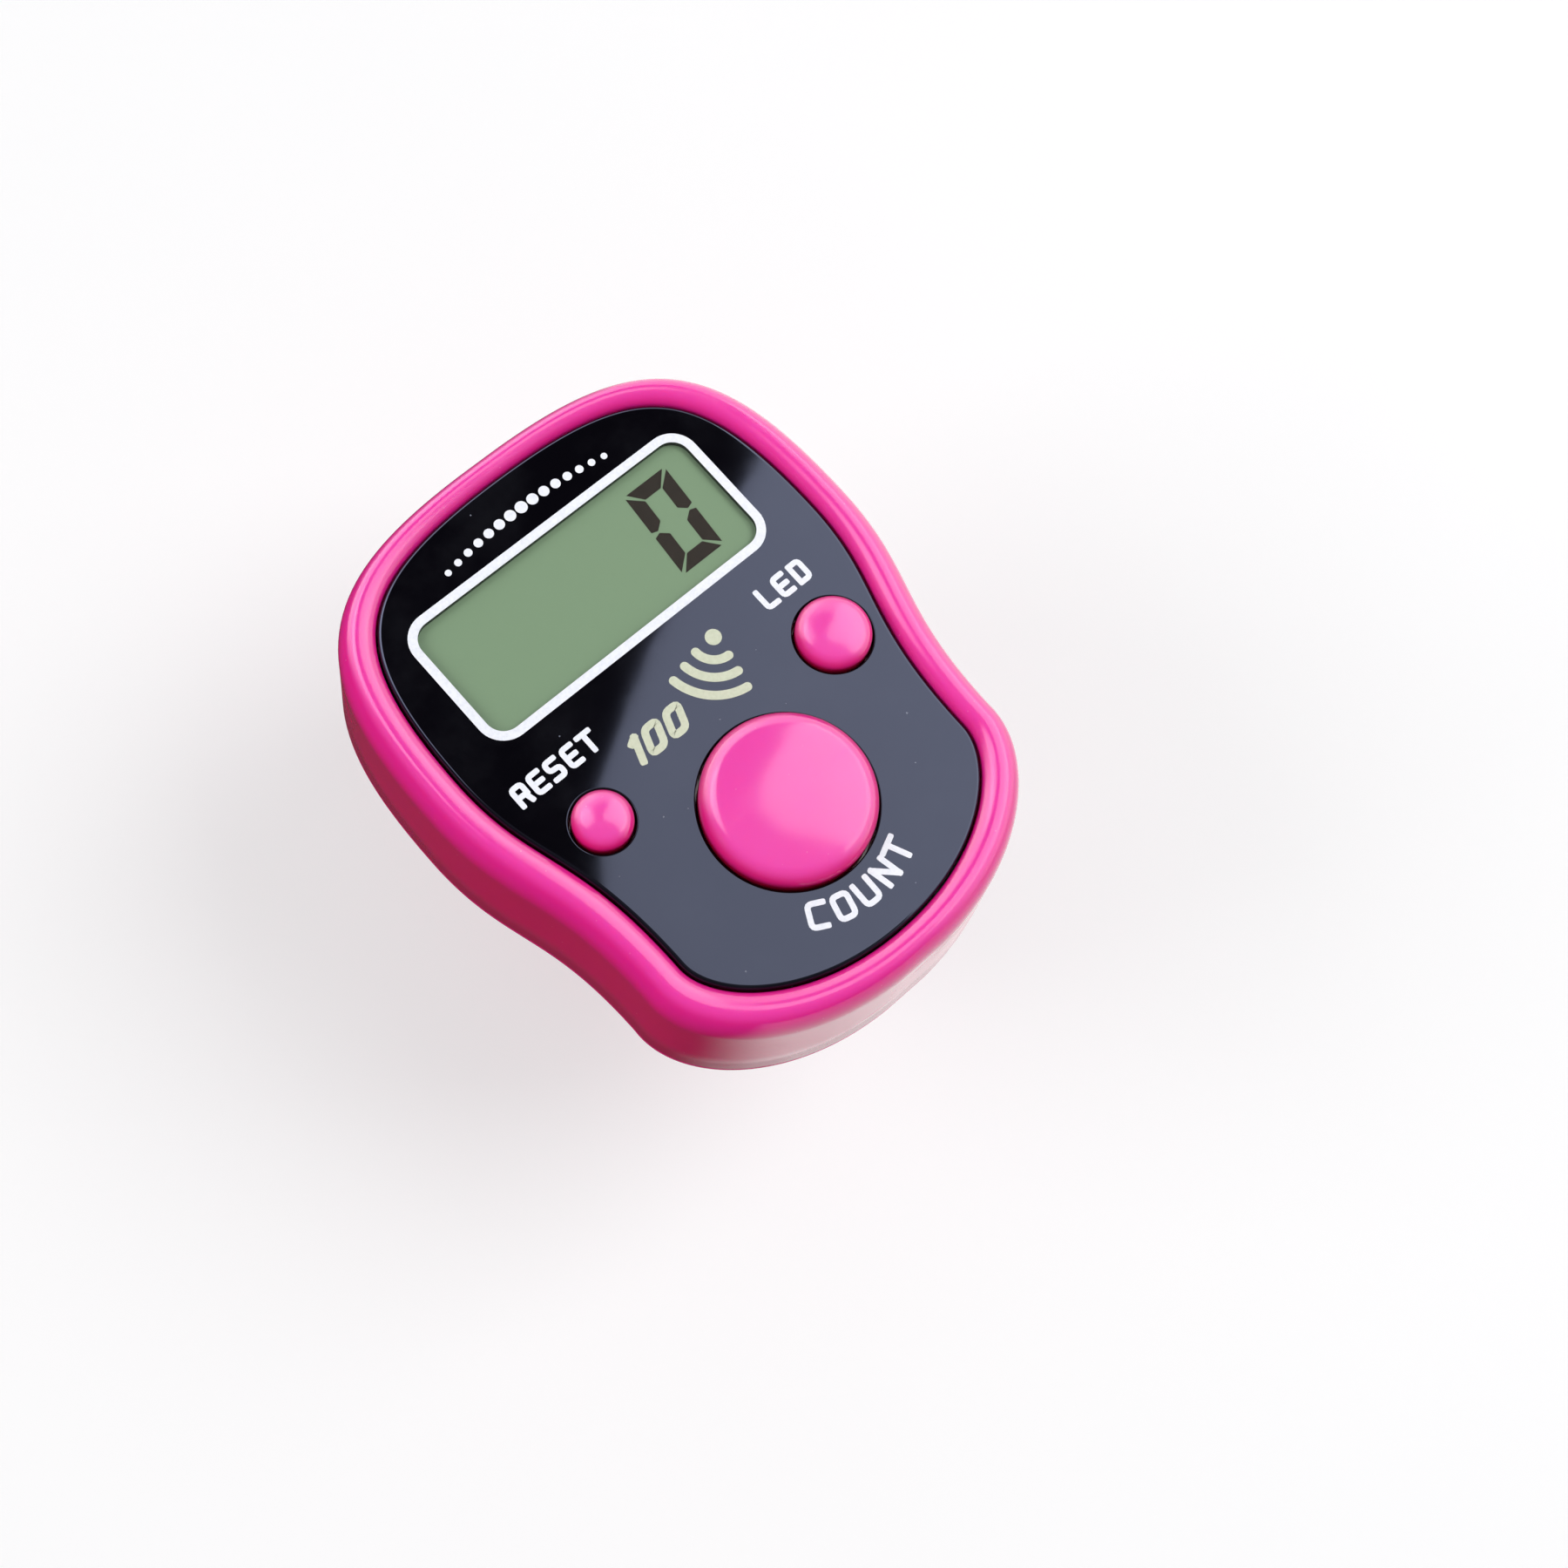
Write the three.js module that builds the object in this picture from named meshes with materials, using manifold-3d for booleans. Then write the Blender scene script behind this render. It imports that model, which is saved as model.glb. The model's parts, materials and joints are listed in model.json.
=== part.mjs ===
// Digital finger tally counter: a waisted pocket-watch sized casing with a display,
// three press buttons and a soft strap that goes round the finger.
// Millimetres. +X runs along the display, +Y from the count button to the display, +Z out of the face.
// The model stands on the flat foot of its strap, at z = 0, under the middle of the casing.

import * as THREE from 'three';
import { mergeVertices } from 'three/addons/utils/BufferGeometryUtils.js';
import Module from 'manifold-3d';

const wasm = await Module();
wasm.setup();

// Face outline, measured from the middle of the display
const crownHeight = 9.3;
const beltHalfWidth = 14.7;
const beltDrop = 4.8;
const chinHalfWidth = 11.95;
const chinDrop = 22.4;
const footBelowChin = 7.0;
// Handle lengths of the three curves that make half of the outline
const crownHandle = 11.8;
const shoulderHandle = 11.3;
const hipHandle = 7.0;
const waistHandle = 9.8;
const jawHandle = 2.8;
const footHandle = 7.5;
const outlineSteps = 10;

// Casing shell and its rolled rim
const rimWidth = 2.0;
const sideSwell = 0.7;
const footSwell = 0.4;
const rimCrestReach = 1.0;
const rimHeight = 0.45;
const rimRollDepth = 2.0;
const rimInnerRollDepth = 0.35;
const rimLipAngle = 105;
const wallThickness = 1.2;
const wallDraft = 0.3;
const wallDepth = 9.8;
const deckThickness = 1.0;

// Face panel and display window
const panelThickness = 1.2;
const panelEdgeRound = 0.25;
const panelGap = 0.1;
const windowWidth = 22.0;
const windowHeight = 8.85;
const windowRadius = 1.3;
const lensThickness = 0.4;

// Display cell
const glassMarginX = 1.2;
const glassMarginTop = 1.0;
const glassLedge = 1.9;
const glassThickness = 0.55;
const cellSpacing = 0.05;
const reflectorThickness = 0.2;
const contactStripBreadth = 1.3;
const supportWall = 1.1;

// Buttons
const countRadius = 5.65;
const countDrop = 18.9;
const countHeight = 1.75;
const ledRadius = 2.5;
const resetRadius = 1.95;
const sideButtonReach = 9.65;
const sideButtonDrop = 12.5;
const sideButtonHeight = 1.2;
const buttonGap = 0.15;
const buttonTravel = 0.5;
const flangeReach = 0.7;
const flangeThickness = 0.7;
const flangeGap = 0.1;
const crownOfButton = 0.4;
const buttonEdgeSweep = 72;
const countEdgeRound = 1.1;
const sideEdgeRound = 0.8;
const domeThickness = 0.15;
const countDomeRadius = 2.6;
const ledDomeRadius = 1.65;
const resetDomeRadius = 1.3;

// Circuit board and what it carries
const boardDepth = 4.4;
const boardThickness = 0.8;
const boardWallGap = 0.5;
const blobRadius = 3.4;
const blobHeight = 1.1;
const blobBelowChin = 1.6;
const chipLength = 1.6;
const chipBreadth = 0.8;
const chipHeight = 0.5;
const lampReach = 7.0;

// Battery cells, their contacts and the door
const cellRadius = 5.8;
const cellHeight = 3.05;
const cellSidePlay = 0.2;
const cellBridge = 0.6;
const cellEdge = 0.35;
const cellCap = 0.4;
const contactDrop = 0.8;
const contactStrip = 0.2;
const contactBreadth = 3.0;
const wellWall = 0.8;
const linkThickness = 0.25;
const linkBreadth = 4.0;
const plugInset = 1.0;
const plugCorner = 1.5;
const wellCornerEase = 0.6;
const doorLip = 0.8;
const doorThickness = 0.9;
const doorGap = 0.15;

// Back cover and screws
const backThickness = 1.3;
const backRound = 1.1;
const lipHeight = 1.2;
const lipThickness = 0.9;
const lipGap = 0.15;
const screwRadius = 0.8;
const screwHeadRadius = 1.5;
const screwHeadHeight = 0.5;
const screwSink = 0.2;
const doorScrewLength = 3.2;
const screwLength = 5.2;
const screwPlay = 0.1;
const bossRadius = 1.6;
const bossShoulder = 0.4;
const upperBossDrop = 0.9;
const lowerBossInset = 3.85;
const lowerBossBelowChin = 3.1;
const padHeight = 0.9;
const padWall = 0.7;
const seatGap = 0.05;
const screwSides = 16;

// Sounder disc
const sounderRadius = 5.4;
const sounderThickness = 0.3;
const ceramicRadius = 3.6;
const ceramicThickness = 0.25;
const sounderGap = 0.5;
const wireRadius = 0.3;
const wireReach = 7.0;

// Strap
const strapWidth = 8.0;
const strapThickness = 1.4;
const strapPlay = 0.3;
const bridgeReach = 10.2;
const bridgeBreadth = 1.9;
const bridgeThickness = 1.3;
const bridgePost = 1.5;
const strapTurn = 2.6;
const strapLean = 12;
const strapBend = 8.0;
const fingerDepth = 16.6;
const strapTail = 10.5;
const studPitch = 4.4;
const studRadius = 0.9;
const studHeadRadius = 1.35;
const studHeadHeight = 0.5;
const studTip = 4.4;
const studSides = 16;

// Finishes
const pinkPlastic = { color: 0xf03ca0, roughness: 0.22, metalness: 0 };
const pinkRubber = { color: 0xe8409c, roughness: 0.6, metalness: 0 };
const blackAcrylic = { color: 0x0c0c10, roughness: 0.08, metalness: 0 };
const clearAcrylic = { color: 0xcfe0cf, roughness: 0.05, metalness: 0, transparent: true, opacity: 0.3 };
const clearGlass = { color: 0xdce8dc, roughness: 0.05, metalness: 0, transparent: true, opacity: 0.3 };
const greyFilm = { color: 0x839c7f, roughness: 0.5, metalness: 0 };
const whitePlastic = { color: 0xe9e9e4, roughness: 0.5, metalness: 0 };
const greenBoard = { color: 0x1e6a3c, roughness: 0.45, metalness: 0 };
const greyRubber = { color: 0x8f9094, roughness: 0.8, metalness: 0 };
const blackResin = { color: 0x141414, roughness: 0.5, metalness: 0 };
const redSleeve = { color: 0xb02020, roughness: 0.5, metalness: 0 };
const ceramicBody = { color: 0xe8e0d2, roughness: 0.6, metalness: 0 };
const steel = { color: 0xb9bcc0, roughness: 0.3, metalness: 1 };
const brass = { color: 0xc9a860, roughness: 0.35, metalness: 1 };

// Depths below the face, worked out from the sizes above
const deckTop = panelThickness + seatGap;
const deckBottom = deckTop + deckThickness;
const innerWallReach = rimWidth - wallThickness;
const frontGlassTop = lensThickness + seatGap;
const frontGlassBottom = frontGlassTop + glassThickness;
const rearGlassTop = frontGlassBottom + cellSpacing;
const rearGlassBottom = rearGlassTop + glassThickness;
const reflectorBottom = rearGlassBottom + reflectorThickness;
const domeHeight = buttonTravel + seatGap;
const boardBottom = boardDepth + boardThickness;
const cellTop = boardBottom + contactDrop;
const cellBottom = cellTop + cellHeight;
const backDepth = wallDepth + backThickness;
const strapTop = backDepth + strapPlay;
const footDrop = chinDrop + footBelowChin;
const blobDrop = chinDrop + blobBelowChin;
const backReach = rimWidth + wallDraft;
const footExtra = (footSwell * backReach) / rimWidth;
const middleY = (crownHeight - footDrop - footExtra) / 2;
const cellMiddleDrop = -middleY;
const wellHalfHeight = cellRadius + cellSidePlay + wellWall;
const cellReach = cellRadius + cellBridge / 2;
const glassWidth = windowWidth + 2 * glassMarginX;
const bossFoot = wallDepth - padHeight;
const padRadius = screwHeadRadius + padWall;
const sounderY = wellHalfHeight + sounderGap + sounderRadius - cellMiddleDrop;
const sounderTop = wallDepth - sounderThickness;
const strapLayer = strapThickness + strapPlay;
const strapFootDepth = strapTop + strapThickness + fingerDepth + strapLayer + strapThickness;
const tailBend = strapBend + strapLayer;
const glassTopY = windowHeight / 2 + glassMarginTop;
const upperBossReach = glassWidth / 2 + bossRadius + bossShoulder + 2 * panelGap;
const lowerBossReach = chinHalfWidth - lowerBossInset;
const lowerBossDrop = chinDrop + lowerBossBelowChin;
const rearGlassFootY = -windowHeight / 2 - glassMarginTop / 2;
const frontGlassFootY = rearGlassFootY - glassLedge;

// A closed geometry as a solid for joining and cutting
function solidOf(geometry) {
  const plain = geometry.clone();
  plain.deleteAttribute('normal');
  plain.deleteAttribute('uv');
  const merged = mergeVertices(plain, 1e-5);
  const mesh = new wasm.Mesh({
    numProp: 3,
    vertProperties: new Float32Array(merged.attributes.position.array),
    triVerts: new Uint32Array(merged.index.array),
  });
  return new wasm.Manifold(mesh);
}

function geometryOf(solid) {
  const mesh = solid.getMesh();
  const geometry = new THREE.BufferGeometry();
  geometry.setAttribute('position', new THREE.BufferAttribute(mesh.vertProperties, 3));
  geometry.setIndex(new THREE.BufferAttribute(mesh.triVerts, 1));
  geometry.computeVertexNormals();
  return geometry;
}

// First geometry with the added ones joined on, then the cut ones taken out
function carve(base, added, removed) {
  let body = solidOf(base);
  for (const piece of added) body = body.add(solidOf(piece));
  for (const tool of removed) body = body.subtract(solidOf(tool));
  return geometryOf(body);
}

// Reach of the outline where its outward direction is out: the rim is wider at the sides and at
// the foot than at the crown, in proportion to the reach.
function swollenReach(reach, out) {
  const swell = sideSwell * Math.abs(out.x) + footSwell * Math.max(-out.y, 0);
  return reach + (swell * Math.max(reach, 0)) / rimWidth;
}

// Points of the face outline, anticlockwise from the crown, pushed outwards by a reach.
function faceOutline(reach) {
  const point = (x, y) => new THREE.Vector2(x, y);
  const belt = point(-beltHalfWidth, -beltDrop);
  const chin = point(-chinHalfWidth, -chinDrop);
  const curves = [
    new THREE.CubicBezierCurve(point(0, crownHeight), point(-crownHandle, crownHeight),
      point(belt.x, belt.y + shoulderHandle), belt),
    new THREE.CubicBezierCurve(belt, point(belt.x, belt.y - hipHandle),
      point(chin.x, chin.y + waistHandle), chin),
    new THREE.CubicBezierCurve(chin, point(chin.x, chin.y - jawHandle),
      point(-footHandle, -footDrop), point(0, -footDrop)),
  ];
  const left = [];
  for (const curve of curves) {
    for (let step = 0; step < outlineSteps; step += 1) {
      const share = step / outlineSteps;
      const along = curve.getTangent(share);
      const out = point(along.y, -along.x);
      left.push(curve.getPoint(share).addScaledVector(out, swollenReach(reach, out)));
    }
  }
  const foot = point(0, -footDrop - swollenReach(reach, point(0, -1)));
  const right = left.slice(1).reverse().map((corner) => point(-corner.x, corner.y));
  return [...left, foot, ...right];
}

// Skin between neighbouring loops of points, given as { points, z }
function skinFaces(count, loops, closed) {
  const faces = [];
  const last = closed ? loops : loops - 1;
  for (let level = 0; level < last; level += 1) {
    const next = (level + 1) % loops;
    for (let spot = 0; spot < count; spot += 1) {
      const beside = (spot + 1) % count;
      faces.push(level * count + spot, level * count + beside, next * count + beside);
      faces.push(level * count + spot, next * count + beside, next * count + spot);
    }
  }
  return faces;
}

function loopGeometry(loops, faces) {
  const places = loops.flatMap(({ points, z }) => points.flatMap((spot) => [spot.x, spot.y, z]));
  const geometry = new THREE.BufferGeometry();
  geometry.setAttribute('position', new THREE.Float32BufferAttribute(places, 3));
  geometry.setIndex(faces);
  return geometry;
}

// Solid through a stack of loops, lowest first, closed by a cap at each end
function stack(loops) {
  const count = loops[0].points.length;
  const faces = skinFaces(count, loops.length, false);
  const top = (loops.length - 1) * count;
  for (const [a, b, c] of THREE.ShapeUtils.triangulateShape(loops[0].points, [])) faces.push(c, b, a);
  for (const [a, b, c] of THREE.ShapeUtils.triangulateShape(loops[loops.length - 1].points, [])) {
    faces.push(top + a, top + b, top + c);
  }
  return loopGeometry(loops, faces);
}

// Hollow ring carried round the face outline; its section runs anticlockwise as [reach, depth]
function ringRoundFace(section) {
  const loops = section.map(([reach, depth]) => ({ points: faceOutline(reach), z: -depth }));
  return loopGeometry(loops, skinFaces(loops[0].points.length, loops.length, true));
}

function faceStack(layers) {
  return stack(layers.map(([reach, depth]) => ({ points: faceOutline(reach), z: -depth })));
}

// Quarter of an ellipse as [reach, depth] pairs between two angles in degrees
function roll(middleReach, middleDepth, wide, tall, from, to, steps) {
  const pairs = [];
  for (let step = 0; step <= steps; step += 1) {
    const angle = THREE.MathUtils.degToRad(from + ((to - from) * step) / steps);
    pairs.push([middleReach + wide * Math.cos(angle), middleDepth - tall * Math.sin(angle)]);
  }
  return pairs;
}

function roundedBox(width, height, radius, x, y) {
  const shape = new THREE.Shape();
  const right = width / 2 - radius;
  const top = height / 2 - radius;
  shape.absarc(x + right, y + top, radius, 0, Math.PI / 2);
  shape.absarc(x - right, y + top, radius, Math.PI / 2, Math.PI);
  shape.absarc(x - right, y - top, radius, Math.PI, 1.5 * Math.PI);
  shape.absarc(x + right, y - top, radius, 1.5 * Math.PI, 2 * Math.PI);
  return shape;
}

// Flat plate of a shape between two depths below the face
function plate(shape, topDepth, bottomDepth, curveSegments = 3) {
  const geometry = new THREE.ExtrudeGeometry(shape, {
    depth: bottomDepth - topDepth, bevelEnabled: false, curveSegments,
  });
  return geometry.translate(0, 0, -bottomDepth);
}

function post(radius, topDepth, bottomDepth, x, y, sides = 32) {
  const geometry = new THREE.CylinderGeometry(radius, radius, bottomDepth - topDepth, sides);
  return geometry.rotateX(Math.PI / 2).translate(x, y, -(topDepth + bottomDepth) / 2);
}

function block(width, height, topDepth, bottomDepth, x, y) {
  const geometry = new THREE.BoxGeometry(width, height, bottomDepth - topDepth);
  return geometry.translate(x, y, -(topDepth + bottomDepth) / 2);
}

// Solid of revolution about an upright axis; its profile is [radius, depth] from the lowest point up
function turned(profile, x, y, sides) {
  const points = profile.map(([radius, depth]) => new THREE.Vector2(radius, -depth));
  return new THREE.LatheGeometry(points, sides).rotateX(Math.PI / 2).translate(x, y, 0);
}

const bossSpots = [
  [upperBossReach, -upperBossDrop], [-upperBossReach, -upperBossDrop],
  [lowerBossReach, -lowerBossDrop], [-lowerBossReach, -lowerBossDrop],
];
const doorScrewSpot = [0, -cellMiddleDrop - cellRadius + bossRadius / 4];
const buttons = {
  count: {
    radius: countRadius, x: 0, y: -countDrop,
    height: countHeight, round: countEdgeRound, dome: countDomeRadius, sides: 40,
  },
  led: {
    radius: ledRadius, x: sideButtonReach, y: -sideButtonDrop,
    height: sideButtonHeight, round: sideEdgeRound, dome: ledDomeRadius, sides: 24,
  },
  reset: {
    radius: resetRadius, x: -sideButtonReach, y: -sideButtonDrop,
    height: sideButtonHeight, round: sideEdgeRound, dome: resetDomeRadius, sides: 24,
  },
};

// Upper casing: tapered wall, rolled rim, recessed deck with its openings, and four screw bosses
function upperCasing() {
  const rollTop = rimHeight + rimRollDepth;
  const innerTop = rimHeight + rimInnerRollDepth;
  const section = [
    [innerWallReach, wallDepth],
    [backReach, wallDepth],
    ...roll(rimCrestReach, rimRollDepth, rimWidth - rimCrestReach, rollTop, 0, 90, 6),
    ...roll(rimCrestReach, rimInnerRollDepth, rimCrestReach - panelGap, innerTop, rimLipAngle, 180, 4),
    [panelGap, deckTop],
    [panelGap, deckBottom],
    [innerWallReach, deckBottom],
  ];
  const deck = faceStack([[panelGap + seatGap, deckBottom], [panelGap + seatGap, deckTop]]);
  const bosses = bossSpots.flatMap(([x, y]) => [
    post(bossRadius + bossShoulder, deckBottom - deckThickness / 2, boardDepth - seatGap, x, y, screwSides),
    post(bossRadius, deckBottom, bossFoot, x, y, screwSides),
  ]);
  const holes = bossSpots.map(([x, y]) => (
    post(screwRadius + seatGap, bossFoot - screwLength, bossFoot + 1, x, y, screwSides)));
  for (const { radius, x, y } of Object.values(buttons)) {
    holes.push(post(radius + buttonGap, 0, deckBottom + 1, x, y, 32));
  }
  const displayHeight = glassTopY - frontGlassFootY + 2 * panelGap;
  const displayMiddle = (glassTopY + frontGlassFootY) / 2;
  holes.push(block(glassWidth + 2 * panelGap, displayHeight, 0, deckBottom + 1, 0, displayMiddle));
  return carve(ringRoundFace(section), [deck, ...bosses], holes);
}

// Face panel: black plate with a rounded edge, the window, three button holes and a pocket for the glass
function facePanel() {
  const edge = roll(-panelEdgeRound, panelEdgeRound, panelEdgeRound, panelEdgeRound, 0, 90, 4);
  const body = faceStack([[0, panelThickness], ...edge]);
  const holes = Object.values(buttons).map(({ radius, x, y }) => (
    post(radius + buttonGap, -1, panelThickness + 1, x, y, 40)));
  holes.push(plate(roundedBox(windowWidth, windowHeight, windowRadius, 0, 0), -1, panelThickness + 1));
  const pocketWidth = glassWidth + 2 * panelGap;
  const pocketHeight = glassTopY - frontGlassFootY + 2 * panelGap;
  const pocketMiddle = (glassTopY + frontGlassFootY) / 2;
  holes.push(block(pocketWidth, pocketHeight, lensThickness, panelThickness + 1, 0, pocketMiddle));
  return carve(body, [], holes);
}

function windowLens() {
  const gap = 2 * seatGap;
  const shape = roundedBox(windowWidth - gap, windowHeight - gap, windowRadius - seatGap, 0, 0);
  return plate(shape, 0, lensThickness);
}

// Display cell: the front glass overhangs at its foot, where its contacts look down at the strip
function frontGlass() {
  const height = glassTopY - frontGlassFootY;
  return block(glassWidth, height, frontGlassTop, frontGlassBottom, 0, (glassTopY + frontGlassFootY) / 2);
}

function rearGlass() {
  const height = glassTopY - rearGlassFootY;
  return block(glassWidth, height, rearGlassTop, rearGlassBottom, 0, (glassTopY + rearGlassFootY) / 2);
}

function reflector() {
  const height = glassTopY - rearGlassFootY;
  return block(glassWidth, height, rearGlassBottom, reflectorBottom, 0, (glassTopY + rearGlassFootY) / 2);
}

function contactStripSolid() {
  const middle = (rearGlassFootY + frontGlassFootY) / 2;
  const top = frontGlassBottom;
  return block(windowWidth, contactStripBreadth, top, boardDepth, 0, middle);
}

function displaySupport() {
  const height = glassTopY - rearGlassFootY;
  const middle = (glassTopY + rearGlassFootY) / 2;
  const outer = block(glassWidth, height, reflectorBottom, boardDepth, 0, middle);
  const inner = block(glassWidth - 2 * supportWall, height - 2 * supportWall, 0, boardDepth + 1, 0, middle);
  return carve(outer, [], [inner]);
}

// Press button: crowned cap, rounded edge, straight skirt, retaining flange and plunger
function pressButton({ radius, x, y, height, round, sides }) {
  const capEdge = height - crownOfButton;
  const flangeTop = deckBottom + flangeGap;
  const flangeBottom = flangeTop + flangeThickness;
  const plungerFoot = boardDepth - domeHeight - seatGap;
  const flat = radius - round;
  const profile = [
    [0, plungerFoot],
    [radius / 4, plungerFoot],
    [radius / 4, flangeBottom],
    [radius + flangeReach, flangeBottom],
    [radius + flangeReach, flangeTop],
    [radius, flangeTop],
    ...roll(flat, round - capEdge, round, round, 0, buttonEdgeSweep, 4),
  ];
  const [rimReach, rimDepth] = profile[profile.length - 1];
  const rise = height + rimDepth;
  for (let ring = 1; ring >= 0; ring -= 1) {
    const share = ring / 2;
    profile.push([rimReach * share, -height + rise * share * share]);
  }
  return turned(profile, x, y, sides);
}

// Snap dome: a thin shallow cap on the board under each plunger
function snapDome({ dome: reach, x, y }) {
  const skin = (lift) => {
    const pairs = [];
    for (let ring = 0; ring <= 4; ring += 1) {
      const share = ring / 4;
      const height = (domeHeight - domeThickness) * (1 - share * share) + lift;
      pairs.push([reach * share, boardDepth - height]);
    }
    return pairs;
  };
  const under = skin(0);
  const over = skin(domeThickness).reverse();
  return turned([...under, ...over], x, y, 16);
}

// Circuit board: follows the casing, with notches for the bosses
function circuitBoard() {
  const reach = innerWallReach - boardWallGap;
  const board = faceStack([[reach, boardBottom], [reach, boardDepth]]);
  const notches = bossSpots.map(([x, y]) => (
    post(bossRadius + 2 * panelGap, boardDepth - 1, boardBottom + 1, x, y, screwSides)));
  return carve(board, [], notches);
}

function chipBlob() {
  const pairs = [[0, boardBottom + blobHeight]];
  for (let ring = 1; ring <= 6; ring += 1) {
    const angle = (ring / 6) * (Math.PI / 2);
    pairs.push([blobRadius * Math.sin(angle), boardBottom + blobHeight * Math.cos(angle)]);
  }
  pairs.push([0, boardBottom]);
  return turned(pairs, 0, -blobDrop, 28);
}

function chipPart(x, y) {
  return block(chipLength, chipBreadth, boardBottom, boardBottom + chipHeight, x, y);
}

function displayLamp(side) {
  const body = block(chipLength, chipBreadth, boardDepth - chipHeight / 2, boardDepth, side * lampReach, 0);
  const lens = block(chipLength / 2, chipBreadth, boardDepth - chipHeight, boardDepth - chipHeight / 4,
    side * lampReach, 0);
  return carve(body, [lens], []);
}

// Button cell: can with a rounded edge and a smaller raised cap on top
function buttonCell(side) {
  const profile = [
    [0, cellBottom],
    ...roll(cellRadius - cellEdge, cellBottom - cellEdge, cellEdge, -cellEdge, 90, 0, 3),
    [cellRadius, cellTop + cellCap],
    [cellRadius - cellCap, cellTop + cellCap / 2],
    [cellRadius - 2.2 * cellCap, cellTop + cellCap / 2],
    [cellRadius - 2.4 * cellCap, cellTop],
    [0, cellTop],
  ];
  return turned(profile, side * cellReach, -cellMiddleDrop, 32);
}

// Leaf contact: a bent strip, soldered flat to the board, that presses on a cell
function leafContact(side) {
  const lift = cellTop - seatGap;
  const heel = contactBreadth;
  const shape = new THREE.Shape();
  shape.moveTo(-heel, -boardBottom);
  shape.lineTo(0, -boardBottom);
  shape.lineTo(heel, -lift + contactStrip);
  shape.lineTo(heel + 1, -lift + contactStrip);
  shape.lineTo(heel + 1, -lift);
  shape.lineTo(heel - contactStrip / 2, -lift);
  shape.lineTo(-contactStrip / 2, -boardBottom - contactStrip);
  shape.lineTo(-heel, -boardBottom - contactStrip);
  const geometry = new THREE.ExtrudeGeometry(shape, { depth: contactBreadth, bevelEnabled: false });
  geometry.rotateX(Math.PI / 2).translate(0, contactBreadth / 2, 0);
  if (side < 0) geometry.rotateZ(Math.PI);
  return geometry.translate(side * (cellReach - 1), -cellMiddleDrop, 0);
}

function linkPlate() {
  const width = 2 * cellReach + cellRadius;
  return plate(roundedBox(width, linkBreadth, linkBreadth / 2.5, 0, -cellMiddleDrop),
    cellBottom, cellBottom + linkThickness);
}

// Outline of the battery well and its door, grown by a margin round the two cells
function wellShape(margin) {
  const width = 2 * (cellReach + cellRadius + cellSidePlay + margin);
  const height = 2 * (cellRadius + cellSidePlay + margin);
  return roundedBox(width, height, cellRadius + cellSidePlay + margin - wellCornerEase, 0, -cellMiddleDrop);
}

// Strap bridge: a low arch across the back that holds the strap against it
function strapBridge(side) {
  const slotHalf = strapWidth / 2 + strapPlay;
  const half = slotHalf + bridgePost;
  const slotDepth = strapTop + strapThickness + strapPlay;
  const foot = slotDepth + bridgeThickness;
  const root = backDepth - backThickness / 3;
  const shape = new THREE.Shape();
  shape.moveTo(-half, -root);
  shape.absarc(-half + bridgePost, -foot + bridgePost, bridgePost, Math.PI, 1.5 * Math.PI);
  shape.absarc(half - bridgePost, -foot + bridgePost, bridgePost, 1.5 * Math.PI, 2 * Math.PI);
  shape.lineTo(half, -root);
  shape.lineTo(slotHalf, -root);
  shape.lineTo(slotHalf, -slotDepth);
  shape.lineTo(-slotHalf, -slotDepth);
  shape.lineTo(-slotHalf, -root);
  const geometry = new THREE.ExtrudeGeometry(shape, {
    depth: bridgeBreadth, bevelEnabled: false, curveSegments: 6,
  });
  return geometry.rotateX(Math.PI / 2).translate(0, middleY + side * bridgeReach + bridgeBreadth / 2, 0);
}

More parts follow.
